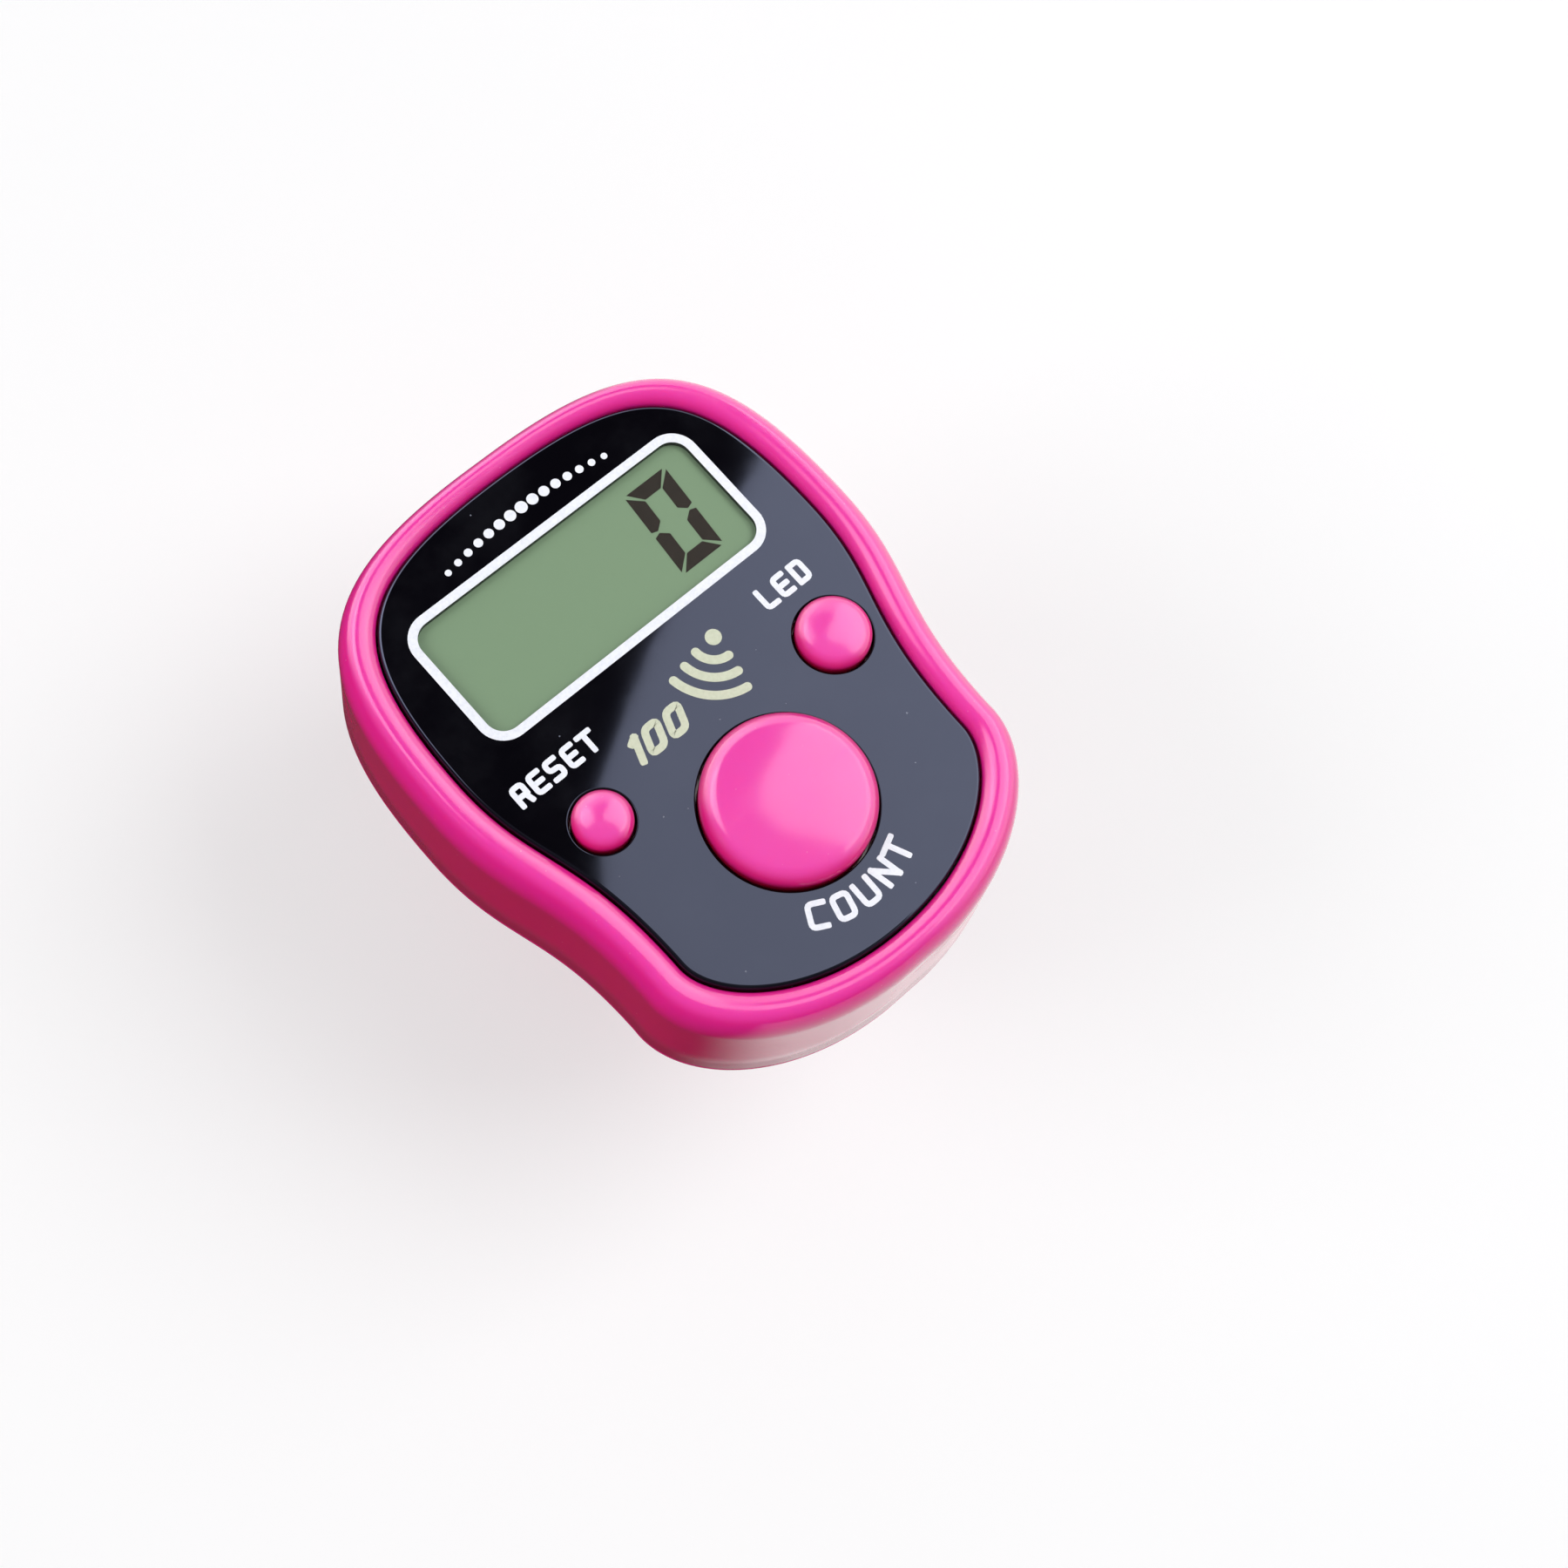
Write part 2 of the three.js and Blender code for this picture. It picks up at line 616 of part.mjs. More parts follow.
// Back cover: rounded plate with a lip inside the wall, screw pads, the battery well and two bridges
function backCover() {
  const edge = backReach;
  const rounded = roll(edge - backRound, backDepth - backRound, backRound, -backRound, 90, 0, 4);
  const body = faceStack([...rounded, [edge, wallDepth]]);
  const lip = innerWallReach - lipGap;
  const lipRing = ringRoundFace([
    [lip - lipThickness, wallDepth + seatGap],
    [lip, wallDepth + seatGap],
    [lip, wallDepth - lipHeight],
    [lip - lipThickness, wallDepth - lipHeight],
  ]);
  const well = plate(wellShape(wellWall), boardBottom + seatGap, backDepth - backThickness / 2);
  const hollow = plate(wellShape(0), boardBottom - 1, backDepth + 1);
  const recessTop = backDepth - doorThickness - seatGap;
  const screwBoss = post(bossRadius, boardBottom + 1, recessTop, ...doorScrewSpot, screwSides);
  const recess = plate(wellShape(doorLip + doorGap), recessTop, backDepth + 1);
  const pads = bossSpots.map(([x, y]) => (
    post(padRadius, bossFoot + seatGap, wallDepth + seatGap, x, y, screwSides)));
  const sinkTop = backDepth - screwHeadHeight - screwSink;
  const holes = bossSpots.flatMap(([x, y]) => [
    post(screwRadius + screwPlay, 0, backDepth + 1, x, y, screwSides),
    post(screwHeadRadius + screwPlay, sinkTop, backDepth + 1, x, y, screwSides),
  ]);
  const wallRoom = ringRoundFace([
    [innerWallReach - seatGap, wallDepth],
    [rimWidth + 2, wallDepth],
    [rimWidth + 2, 0],
    [innerWallReach - seatGap, 0],
  ]);
  const bossRoom = bossSpots.map(([x, y]) => post(bossRadius + panelGap, 0, bossFoot, x, y, screwSides));
  let cover = solidOf(body).add(solidOf(lipRing)).add(solidOf(well));
  for (const room of bossRoom) cover = cover.subtract(solidOf(room));
  for (const pad of pads) cover = cover.add(solidOf(pad));
  cover = cover.subtract(solidOf(hollow)).add(solidOf(screwBoss)).subtract(solidOf(recess));
  cover = cover.add(solidOf(strapBridge(1))).add(solidOf(strapBridge(-1)));
  for (const hole of holes) cover = cover.subtract(solidOf(hole));
  const [doorX, doorY] = doorScrewSpot;
  const pilot = post(screwRadius + seatGap, boardBottom + 2, backDepth, doorX, doorY, screwSides);
  return geometryOf(cover.subtract(solidOf(pilot)).subtract(solidOf(wallRoom)));
}

// Battery door: flush plate in its recess, with a plug that backs the link plate
function batteryDoor() {
  const [screwX, screwY] = doorScrewSpot;
  const top = backDepth - doorThickness;
  const outer = plate(wellShape(doorLip), top, backDepth);
  const plugWidth = 2 * (cellReach + cellRadius - plugInset);
  const plug = plate(roundedBox(plugWidth, linkBreadth + plugInset, plugCorner, 0, -cellMiddleDrop),
    cellBottom + linkThickness, top + doorThickness / 2);
  const sinkTop = backDepth - screwHeadHeight;
  const clear = post(screwRadius + screwPlay, 0, backDepth + 1, screwX, screwY, screwSides);
  const sink = post(screwHeadRadius + screwPlay, sinkTop, backDepth + 1, screwX, screwY, screwSides);
  return carve(outer, [plug], [clear, sink]);
}

// Screw: domed head with a cross recess, threaded length shown as a plain shank with a point
function screw(headTop, length, x, y) {
  const headFoot = headTop - screwHeadHeight;
  const profile = [
    [0, headTop],
    [screwHeadRadius * 0.7, headTop],
    [screwHeadRadius, headTop - screwHeadHeight / 2],
    [screwHeadRadius, headFoot],
    [screwRadius, headFoot],
    [screwRadius, headFoot - length + screwRadius],
    [0, headFoot - length],
  ];
  const slotDepth = screwHeadHeight / 2;
  const slots = [
    block(screwHeadRadius, screwRadius / 3, headTop - slotDepth, headTop + 1, x, y),
    block(screwRadius / 3, screwHeadRadius, headTop - slotDepth, headTop + 1, x, y),
  ];
  return carve(turned(profile, x, y, screwSides), [], slots);
}

function sounderPlate() {
  return post(sounderRadius, sounderTop, wallDepth, 0, sounderY, 32);
}

function sounderCeramic() {
  return post(ceramicRadius, sounderTop - ceramicThickness, sounderTop, 0, sounderY, 32);
}

// Half of the strap's middle line in its own plane, from the top flat round one side to the foot.
// Distances run out from the casing's middle line, and depths below the face.
function strapSide(extra) {
  const line = strapTop + strapThickness / 2;
  const start = bridgeReach + bridgeBreadth / 2 + strapPlay;
  const lean = THREE.MathUtils.degToRad(90 + strapLean);
  const drop = fingerDepth + strapThickness + extra;
  const turns = strapTurn * (1 - Math.cos(lean)) + strapBend * (1 + Math.cos(lean));
  const straight = (drop - turns) / Math.sin(lean);
  const points = [];
  for (let step = 0; step <= 6; step += 1) {
    const angle = (lean * step) / 6;
    const arm = new THREE.Vector2(Math.sin(angle), Math.cos(angle) - 1).multiplyScalar(strapTurn);
    points.push(new THREE.Vector2(start, -line).add(arm));
  }
  const knee = points[points.length - 1].clone();
  knee.add(new THREE.Vector2(Math.cos(lean), -Math.sin(lean)).multiplyScalar(straight));
  const spoke = new THREE.Vector2(Math.sin(lean), Math.cos(lean)).multiplyScalar(strapBend);
  const centre = knee.clone().sub(spoke);
  for (let step = 0; step <= 8; step += 1) {
    const angle = lean + ((Math.PI - lean) * step) / 8;
    const arm = new THREE.Vector2(Math.sin(angle), Math.cos(angle)).multiplyScalar(strapBend);
    points.push(centre.clone().add(arm));
  }
  return { points, centre };
}

// Whole middle line: studded end inside, round the back, and the holed end outside it with its tail
function strapLine() {
  const inner = strapSide(0);
  const outer = strapSide(strapLayer);
  const mirrored = inner.points.map((spot) => new THREE.Vector2(-spot.x, spot.y)).reverse();
  const studEnd = new THREE.Vector2(studTip, mirrored[0].y);
  const line = [studEnd, ...mirrored, ...outer.points];
  const bend = inner.centre;
  for (let step = 0; step <= 6; step += 1) {
    const angle = Math.PI + (strapTail / tailBend) * (step / 6);
    const arm = new THREE.Vector2(Math.sin(angle), Math.cos(angle)).multiplyScalar(tailBend);
    line.push(new THREE.Vector2(-bend.x, bend.y).add(arm));
  }
  return line;
}

// Band of even thickness along a line of points
function bandShape(line) {
  const half = strapThickness / 2;
  const sideOf = (side) => line.map((spot, index) => {
    const before = line[Math.max(index - 1, 0)];
    const after = line[Math.min(index + 1, line.length - 1)];
    const first = spot.clone().sub(before);
    const second = after.clone().sub(spot);
    if (first.length() === 0) first.copy(second);
    if (second.length() === 0) second.copy(first);
    const turn = first.normalize().add(second.normalize()).normalize();
    const stretch = half / Math.max(turn.dot(second), 0.5);
    return new THREE.Vector2(spot.x - side * turn.y * stretch, spot.y + side * turn.x * stretch);
  });
  return new THREE.Shape([...sideOf(1), ...sideOf(-1).reverse()]);
}

// A tool made under the start of the tail, carried along the tail's bend by a length of strap
function alongTail(tool, length) {
  const { centre } = strapSide(0);
  tool.translate(0, centre.x, -centre.y).rotateX(-length / tailBend);
  return tool.translate(0, -centre.x, centre.y);
}

// What a half-round tip leaves over from a square end, between two depths
function tipWaste(topDepth, bottomDepth, y, side) {
  const half = strapWidth / 2;
  const shape = new THREE.Shape();
  shape.moveTo(half + 1, 0);
  shape.lineTo(half + 1, half + 1);
  shape.lineTo(-half - 1, half + 1);
  shape.lineTo(-half - 1, 0);
  shape.absarc(0, 0, half, Math.PI, 0, true);
  const waste = plate(shape, topDepth, bottomDepth, 6);
  if (side < 0) waste.rotateZ(Math.PI);
  return waste.translate(0, y, 0);
}

function strap() {
  const half = strapThickness / 2;
  const innerLine = strapTop + half + fingerDepth + strapThickness;
  const outerTop = innerLine + half + strapPlay;
  const outerBottom = outerTop + strapThickness;
  const { centre } = strapSide(0);
  const band = new THREE.ExtrudeGeometry(bandShape(strapLine()), { depth: strapWidth, bevelEnabled: false });
  band.rotateY(Math.PI / 2).rotateX(Math.PI / 2).translate(-strapWidth / 2, 0, 0);
  const holeTop = outerTop - strapPlay / 2;
  const strapHole = (y) => post(studRadius + strapPlay / 2, holeTop, outerBottom + 1, 0, y, studSides);
  const roomTop = outerTop + half;
  const headRoom = (y) => post(studHeadRadius + strapPlay / 2, roomTop, outerBottom + 1, 0, y, studSides);
  const studs = [-studPitch / 2, studPitch / 2];
  const removed = studs.flatMap((y) => [strapHole(y), headRoom(y)]);
  for (const pitches of [1, 2]) {
    const length = (pitches + 0.5) * studPitch - centre.x;
    removed.push(alongTail(strapHole(-centre.x), length), alongTail(headRoom(-centre.x), length));
  }
  removed.push(tipWaste(innerLine - half - 1, innerLine + half + strapPlay / 2, studTip - strapWidth / 2, 1));
  const tailWaste = tipWaste(holeTop, outerBottom + 1, -centre.x, -1);
  removed.push(alongTail(tailWaste, strapTail - strapWidth / 2));
  let body = solidOf(band);
  for (const tool of removed) body = body.subtract(solidOf(tool));
  for (const y of studs) {
    const headBottom = outerBottom - strapPlay / 3;
    body = body.add(solidOf(post(studRadius, innerLine, headBottom - studHeadHeight / 2, 0, y, studSides)));
    body = body.add(solidOf(post(studHeadRadius, headBottom - studHeadHeight, headBottom, 0, y, studSides)));
  }
  return geometryOf(body).translate(0, middleY, 0);
}

// Wire from the board down to the sounder, clear of the battery well
function sounderWire(side) {
  const foot = side > 0 ? sounderTop - ceramicThickness : sounderTop;
  const reach = side > 0 ? ceramicRadius / 2 : (sounderRadius + ceramicRadius) / 2;
  const path = new THREE.CubicBezierCurve3(
    new THREE.Vector3(side * reach, sounderY, -foot + seatGap),
    new THREE.Vector3(side * reach, sounderY, -boardBottom),
    new THREE.Vector3(side * wireReach, sounderY, -foot),
    new THREE.Vector3(side * wireReach, sounderY, -boardBottom - seatGap),
  );
  const shape = new THREE.Shape();
  shape.absarc(0, 0, wireRadius, 0, 2 * Math.PI);
  return new THREE.ExtrudeGeometry(shape, { steps: 10, extrudePath: path, curveSegments: 3 });
}

const counter = new THREE.Group();
counter.position.set(0, -middleY, strapFootDepth);

function addMesh(name, geometry, finish) {
  const mesh = new THREE.Mesh(geometry, new THREE.MeshStandardMaterial(finish));
  mesh.name = name;
  counter.add(mesh);
}

addMesh('upper_casing', upperCasing(), pinkPlastic);
addMesh('face_panel', facePanel(), blackAcrylic);
addMesh('window_lens', windowLens(), clearAcrylic);
addMesh('lcd_front_glass', frontGlass(), clearGlass);
addMesh('lcd_rear_glass', rearGlass(), clearGlass);
addMesh('lcd_reflector', reflector(), greyFilm);
addMesh('lcd_support_frame', displaySupport(), whitePlastic);
addMesh('lcd_contact_strip', contactStripSolid(), greyRubber);
for (const [name, size] of Object.entries(buttons)) {
  addMesh(`${name}_button`, pressButton(size), pinkPlastic);
  addMesh(`${name}_dome`, snapDome(size), steel);
}
addMesh('circuit_board', circuitBoard(), greenBoard);
addMesh('chip_blob', chipBlob(), blackResin);
addMesh('resistor_left', chipPart(-2 * blobRadius, -blobDrop + 1), blackResin);
addMesh('resistor_right', chipPart(2 * blobRadius, -blobDrop + 1), blackResin);
addMesh('capacitor', chipPart(0, -blobDrop + blobRadius + 1), ceramicBody);
addMesh('display_lamp_left', displayLamp(-1), whitePlastic);
addMesh('display_lamp_right', displayLamp(1), whitePlastic);
addMesh('battery_left', buttonCell(-1), steel);
addMesh('battery_right', buttonCell(1), steel);
addMesh('battery_contact_left', leafContact(-1), brass);
addMesh('battery_contact_right', leafContact(1), brass);
addMesh('battery_link_plate', linkPlate(), brass);
addMesh('sounder_plate', sounderPlate(), brass);
addMesh('sounder_ceramic', sounderCeramic(), ceramicBody);
addMesh('sounder_wire_red', sounderWire(1), redSleeve);
addMesh('sounder_wire_black', sounderWire(-1), blackResin);
addMesh('back_cover', backCover(), pinkPlastic);
addMesh('battery_door', batteryDoor(), pinkPlastic);
addMesh('battery_door_screw', screw(backDepth, doorScrewLength, ...doorScrewSpot), steel);
bossSpots.forEach(([x, y], index) => {
  addMesh(`case_screw_${index + 1}`, screw(backDepth - screwSink, screwLength, x, y), steel);
});
addMesh('strap', strap(), pinkRubber);

const model = new THREE.Group();
model.add(counter);

export default model;
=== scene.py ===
# %% [markdown]
# # Dressing a finger tally counter
#
# The solids of this counter come from CAD: a waisted casing, a black face with a display,
# three press buttons, the works inside and a strap. This lesson puts smooth surfaces, prints and
# finishes on them, and lights them as a product picture is lit. We start by loading the packed
# model. It never moves: every surface made below takes its place from it.

# %% Load the frame
import json
import math

import bmesh
import bpy
import numpy as np
from mathutils import Matrix, Vector
from mathutils.geometry import tessellate_polygon


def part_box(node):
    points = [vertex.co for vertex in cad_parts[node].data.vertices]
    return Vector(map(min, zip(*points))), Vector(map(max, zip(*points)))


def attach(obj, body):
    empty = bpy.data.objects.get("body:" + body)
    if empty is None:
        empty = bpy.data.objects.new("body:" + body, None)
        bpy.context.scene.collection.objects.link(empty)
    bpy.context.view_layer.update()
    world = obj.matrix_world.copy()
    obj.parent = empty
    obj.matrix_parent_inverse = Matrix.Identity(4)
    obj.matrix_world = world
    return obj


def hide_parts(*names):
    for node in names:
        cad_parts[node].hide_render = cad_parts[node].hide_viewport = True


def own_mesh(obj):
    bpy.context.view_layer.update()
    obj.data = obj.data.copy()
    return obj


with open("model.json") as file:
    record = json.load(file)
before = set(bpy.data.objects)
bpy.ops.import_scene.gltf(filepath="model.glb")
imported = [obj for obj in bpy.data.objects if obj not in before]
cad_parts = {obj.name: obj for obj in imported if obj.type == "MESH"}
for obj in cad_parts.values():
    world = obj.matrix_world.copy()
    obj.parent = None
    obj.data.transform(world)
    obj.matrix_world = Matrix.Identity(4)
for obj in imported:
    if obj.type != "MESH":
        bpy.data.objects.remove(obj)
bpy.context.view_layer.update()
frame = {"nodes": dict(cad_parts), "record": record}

MM = 0.001


def middle_of(box):
    """Middle (x, y) of a CAD node's box, in millimetres."""
    return (np.array(box[0]) + np.array(box[1]))[:2] / (2 * MM)


face_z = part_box("face_panel")[1][2] / MM
display_y = float(middle_of(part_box("window_lens"))[1])
print("face at", round(face_z, 3), "mm, middle of the display at y", round(display_y, 3), "mm")

# %% [markdown]
# ## The camera
#
# A product picture is taken from a short distance, so its perspective shows. We could aim the
# camera with a constraint, but a written place, aim and up direction are easier to read and give
# the same picture on every run. The lens is given for a 36 mm square sensor.

# %% Camera
camera_place = np.array([-36.75, display_y - 38.32, face_z + 128.13])
camera_aim = np.array([0.55, display_y - 17.9, face_z])
camera_up = np.array([0.6147, 0.7314, 0.2953])
camera_lens, camera_sensor = 49.78, 36.0


def look_matrix(place, aim, up):
    """Turns a place, an aim and an up hint into a matrix: the camera looks down its own -Z, and
    its X is the forward direction crossed with the up hint."""
    forward = (aim - place) / np.linalg.norm(aim - place)
    right = np.cross(forward, up)
    right /= np.linalg.norm(right)
    true_up = np.cross(right, forward)
    matrix = Matrix.Identity(4)
    for row in range(3):
        matrix[row][0], matrix[row][1], matrix[row][2] = right[row], true_up[row], -forward[row]
        matrix[row][3] = place[row] * MM
    return matrix


camera_data = bpy.data.cameras.new("camera")
camera_data.sensor_width, camera_data.lens = camera_sensor, camera_lens
camera_data.clip_start, camera_data.clip_end = 0.005, 20.0
camera = bpy.data.objects.new("camera", camera_data)
camera.matrix_world = look_matrix(camera_place, camera_aim, camera_up)
bpy.context.collection.objects.link(camera)
bpy.context.scene.camera = camera
bpy.context.scene.view_settings.view_transform = "Standard"
print("camera", round(float(np.linalg.norm(camera_aim - camera_place)), 1), "mm from its aim")

# %% [markdown]
# ## Surfaces from arrays
#
# A moulded shell, a button and a strap are all surfaces of two parameters. We could push
# primitives about in edit mode, but a formula on a grid of points keeps every size readable.
# A `Skin` collects such grids and flat fills for one piece and then makes a closed mesh of them.

# %% A skin of grids and fills
merge_reach, speck_reach = 2e-7, 1e-8


def level(loop, depth):
    """A loop of (x, y) lifted to the height of the face less a depth."""
    loop = np.asarray(loop, float)
    return np.column_stack([loop, np.full(len(loop), face_z - depth)])


def unit(rows):
    """Each row over its own length."""
    return rows / np.linalg.norm(rows, axis=1, keepdims=True)


class Skin:
    """Patches of one piece, in millimetres: grids of points, and flat fills inside loops."""

    def __init__(self):
        self.points, self.faces, self.count = [], [], 0

    def grid(self, places, wrap_rows=False, wrap_columns=True):
        """Joins neighbouring points of a (rows, columns, 3) array by four-cornered faces. Point
        (r, c) is number r * columns + c, and wrapping joins the last row or column to the first."""
        rows, columns = places.shape[:2]
        numbers = np.arange(rows * columns).reshape(rows, columns) + self.count
        if wrap_rows:
            numbers = np.vstack([numbers, numbers[:1]])
        if wrap_columns:
            numbers = np.hstack([numbers, numbers[:, :1]])
        corners = (numbers[:-1, :-1], numbers[:-1, 1:], numbers[1:, 1:], numbers[1:, :-1])
        self.faces.extend(np.stack([c.ravel() for c in corners], axis=1).tolist())
        self.points.append(places.reshape(-1, 3))
        self.count += rows * columns
        return self

    def fill(self, *loops):
        """Closes the flat region inside the first loop and outside the others with triangles."""
        corners = tessellate_polygon([[Vector(spot) for spot in loop] for loop in loops])
        self.faces.extend([[self.count + c for c in corner] for corner in corners])
        self.points.append(np.concatenate([np.asarray(loop, float) for loop in loops]))
        self.count += sum(len(loop) for loop in loops)
        return self

    def slab(self, loop, top, bottom):
        """A flat plate: a wall between the loop at two depths, and a fill at each."""
        self.grid(np.stack([level(loop, top), level(loop, bottom)]))
        return self.fill(level(loop, top)).fill(level(loop, bottom))

    def piece(self, name, crease=35.0):
        """One object at the origin: doubles merged, faces turned outwards, edges sharper than the
        crease angle left sharp."""
        mesh = bpy.data.meshes.new(name)
        mesh.from_pydata((np.concatenate(self.points) * MM).tolist(), [], self.faces)
        work = bmesh.new()
        work.from_mesh(mesh)
        bmesh.ops.remove_doubles(work, verts=work.verts, dist=merge_reach)
        bmesh.ops.dissolve_degenerate(work, edges=work.edges, dist=speck_reach)
        bmesh.ops.recalc_face_normals(work, faces=work.faces)
        open_edges = sum(1 for edge in work.edges if len(edge.link_faces) != 2)
        work.to_mesh(mesh)
        work.free()
        mesh.shade_smooth()
        mesh.set_sharp_from_angle(angle=math.radians(crease))
        made = bpy.data.objects.new(name, mesh)
        bpy.context.collection.objects.link(made)
        print(name, len(mesh.polygons), "faces,", open_edges, "open edges")
        return made


def circle(radius, x, y, sides, start=0.0):
    """Points x + r cos t, y + r sin t, for t right round from a start."""
    turn = np.arange(sides) * 2 * np.pi / sides + start
    return np.column_stack([x + radius * np.cos(turn), y + radius * np.sin(turn)])


def rounded_box(width, height, radius, x, y, steps=12):
    """Four quarter circles at the corners of a box, which straight sides join."""
    quarter = np.linspace(0, np.pi / 2, steps + 1)
    loop = []
    for turns, (right, up) in enumerate(((1, 1), (-1, 1), (-1, -1), (1, -1))):
        angle = quarter + turns * np.pi / 2
        corner = (x + right * (width / 2 - radius), y + up * (height / 2 - radius))
        loop.append(corner + radius * np.column_stack([np.cos(angle), np.sin(angle)]))
    return np.concatenate(loop)


def carried(loop_at, section):
    """A section of (reach, depth) pairs carried round a loop that grows by the reach: one row a
    pair."""
    return np.stack([level(loop_at(reach), depth) for reach, depth in section])


def revolved(profile, x, y, sides=96, start=0.0):
    """Turns (radius, depth) pairs about an upright axis: one row a pair, one column an angle."""
    return carried(lambda radius: circle(max(radius, 1e-6), x, y, sides, start), profile)


# %% [markdown]
# ## The outline of the face
#
# Seen from the front the casing is a pear with a waist. Three cubic curves make one half of it:
# crown to belt, belt to chin, and chin to foot. The other half is its mirror image. Every shell
# of the casing is this outline pushed outwards by some reach, so one function serves them all.

# %% Outline
crown_height, belt_half_width, belt_drop = 9.3, 14.7, 4.8
chin_half_width, chin_drop, foot_drop = 11.95, 22.4, 29.4
crown_handle, shoulder_handle, hip_handle = 11.8, 11.3, 7.0
waist_handle, jaw_handle, foot_handle = 9.8, 2.8, 7.5
rim_width, side_swell, foot_swell = 2.0, 0.7, 0.4


def cubic(knots, share):
    """Point and tangent of a cubic curve: weights (1-t)^3, 3(1-t)^2 t, 3(1-t) t^2 and t^3."""
    knots, t = np.asarray(knots, float), share[:, None]
    a, b, c, d = knots
    spot = a * (1 - t) ** 3 + 3 * b * (1 - t) ** 2 * t + 3 * c * (1 - t) * t**2 + d * t**3
    along = 3 * (b - a) * (1 - t) ** 2 + 6 * (c - b) * (1 - t) * t + 3 * (d - c) * t**2
    return spot, unit(along)


def outline(reach, steps=44):
    """Half of the loop from three curves, pushed along its normal by the reach and a little more
    at the sides and the foot, then mirrored. The loop runs anticlockwise from the crown, and it is
    kept within its crown, belt and foot, which the extra push would pass by a hair."""
    share = np.arange(steps) / steps
    crown, foot = (0, crown_height), (0, -foot_drop)
    belt, chin = (-belt_half_width, -belt_drop), (-chin_half_width, -chin_drop)
    curves = (
        (crown, (-crown_handle, crown_height), (belt[0], belt[1] + shoulder_handle), belt),
        (belt, (belt[0], belt[1] - hip_handle), (chin[0], chin[1] + waist_handle), chin),
        (chin, (chin[0], chin[1] - jaw_handle), (-foot_handle, -foot_drop), foot),
    )
    halves = []
    for knots in curves:
        spot, along = cubic(knots, share)
        out = np.column_stack([along[:, 1], -along[:, 0]])
        swell = side_swell * np.abs(out[:, :1]) + foot_swell * np.maximum(-out[:, 1:], 0)
        push = reach + swell * max(reach, 0) / rim_width
        halves.append(spot + out * push)
    left = np.concatenate(halves)
    right = left[:0:-1] * (-1, 1)
    outer = max(reach, 0) / rim_width
    widest = belt_half_width + reach + side_swell * outer
    lowest = -foot_drop - reach - foot_swell * outer
    loop = np.concatenate([left, [(0, lowest)], right])
    return np.clip(loop, (-widest, lowest), (widest, crown_height + reach)) + (0, display_y)


def bend(reach, depth, wide, tall, start, stop, steps):
    """Part of an ellipse: reach + wide cos a, depth - tall sin a, for a from start to stop."""
    angle = np.radians(np.linspace(start, stop, steps + 1))
    return list(zip(reach + wide * np.cos(angle), depth - tall * np.sin(angle)))


print("outline", np.ptp(outline(rim_width), axis=0).round(2), "mm across the rim")

# %% [markdown]
# ## The casing
#
# The pink casing is one moulding: a tapered wall that rolls over into a soft bead and dips behind
# the face panel. A bevelled curve could do it, but the section changes reach and depth freely, so
# it is written as a list of pairs and carried round the outline.

# %% Casing
rim_crest, rim_height, rim_roll, rim_inner_roll = 1.0, 0.45, 2.0, 0.35
wall_depth, wall_thickness, wall_draft, seam_bevel = 9.8, 1.2, 0.3, 0.12
panel_gap, deck_top, deck_bottom = 0.1, 1.25, 2.25
draft_shares, draft_depths = (0.6, 0.3), (6.8, 4.4)

inner_wall, wall_foot = rim_width - wall_thickness, rim_width + wall_draft
casing_section = [
    (inner_wall, wall_depth),
    (wall_foot - seam_bevel, wall_depth),
    *bend(wall_foot - seam_bevel, wall_depth - seam_bevel, seam_bevel, seam_bevel, -90, 0, 3)[1:],
    *[(rim_width + wall_draft * share, depth) for share, depth in zip(draft_shares, draft_depths)],
    *bend(rim_crest, rim_roll, rim_width - rim_crest, rim_height + rim_roll, 0, 90, 22),
    *bend(rim_crest, rim_inner_roll, rim_crest - panel_gap, rim_height + rim_inner_roll, 98, 180, 14),
    (panel_gap, deck_top),
    (panel_gap, deck_bottom),
    (inner_wall, deck_bottom),
]
casing = Skin().grid(carried(outline, casing_section), wrap_rows=True).piece("casing_shell")

# %% [markdown]
# ## The face panel
#
# The face is a black acrylic plate with a softly rounded edge, a window for the display and three
# round holes for the buttons. Cutting holes with booleans would leave stray slivers, so the flat is
# filled between loops of points instead, and each loop then gets its own small wall.

# %% Face panel
panel_thickness, panel_round, hole_round = 1.2, 0.25, 0.08
window_width, window_height, window_radius = 22.0, 8.85, 1.3
count_drop, button_gap = 18.9, 0.15
buttons = {
    "count": {"radius": 5.65, "x": 0.0, "y": display_y - count_drop, "height": 1.75, "round": 1.1},
    "led": {"radius": 2.5, "x": 9.65, "y": display_y - 12.5, "height": 1.2, "round": 0.8},
    "reset": {"radius": 1.95, "x": -9.65, "y": display_y - 12.5, "height": 1.2, "round": 0.8},
}


def with_margin(rows, width=0.04):
    """Adds a narrow level ring ahead of the first row, away from the second: first + width times
    the unit of first - second. The flat beyond it then keeps its own true normals, and a polished
    plate mirrors a straight edge as a straight edge."""
    ring = rows[0] + unit((rows[0] - rows[1]) * (1, 1, 0)) * width
    return np.concatenate([ring[None], rows])


def plate(outer_rows, through=(), blind=()):
    """A plate whose outside and holes are stacks of loops, the seen face first. One fill joins all
    the first loops, another the last loops of the holes that go through, and a blind hole gets a
    floor."""
    skin = Skin().grid(outer_rows)
    for rows in through:
        skin.grid(rows)
    for rows in blind:
        skin.grid(rows).fill(rows[-1])
    skin.fill(outer_rows[0], *[rows[0] for rows in (*through, *blind)])
    return skin.fill(outer_rows[-1], *[rows[-1] for rows in through])


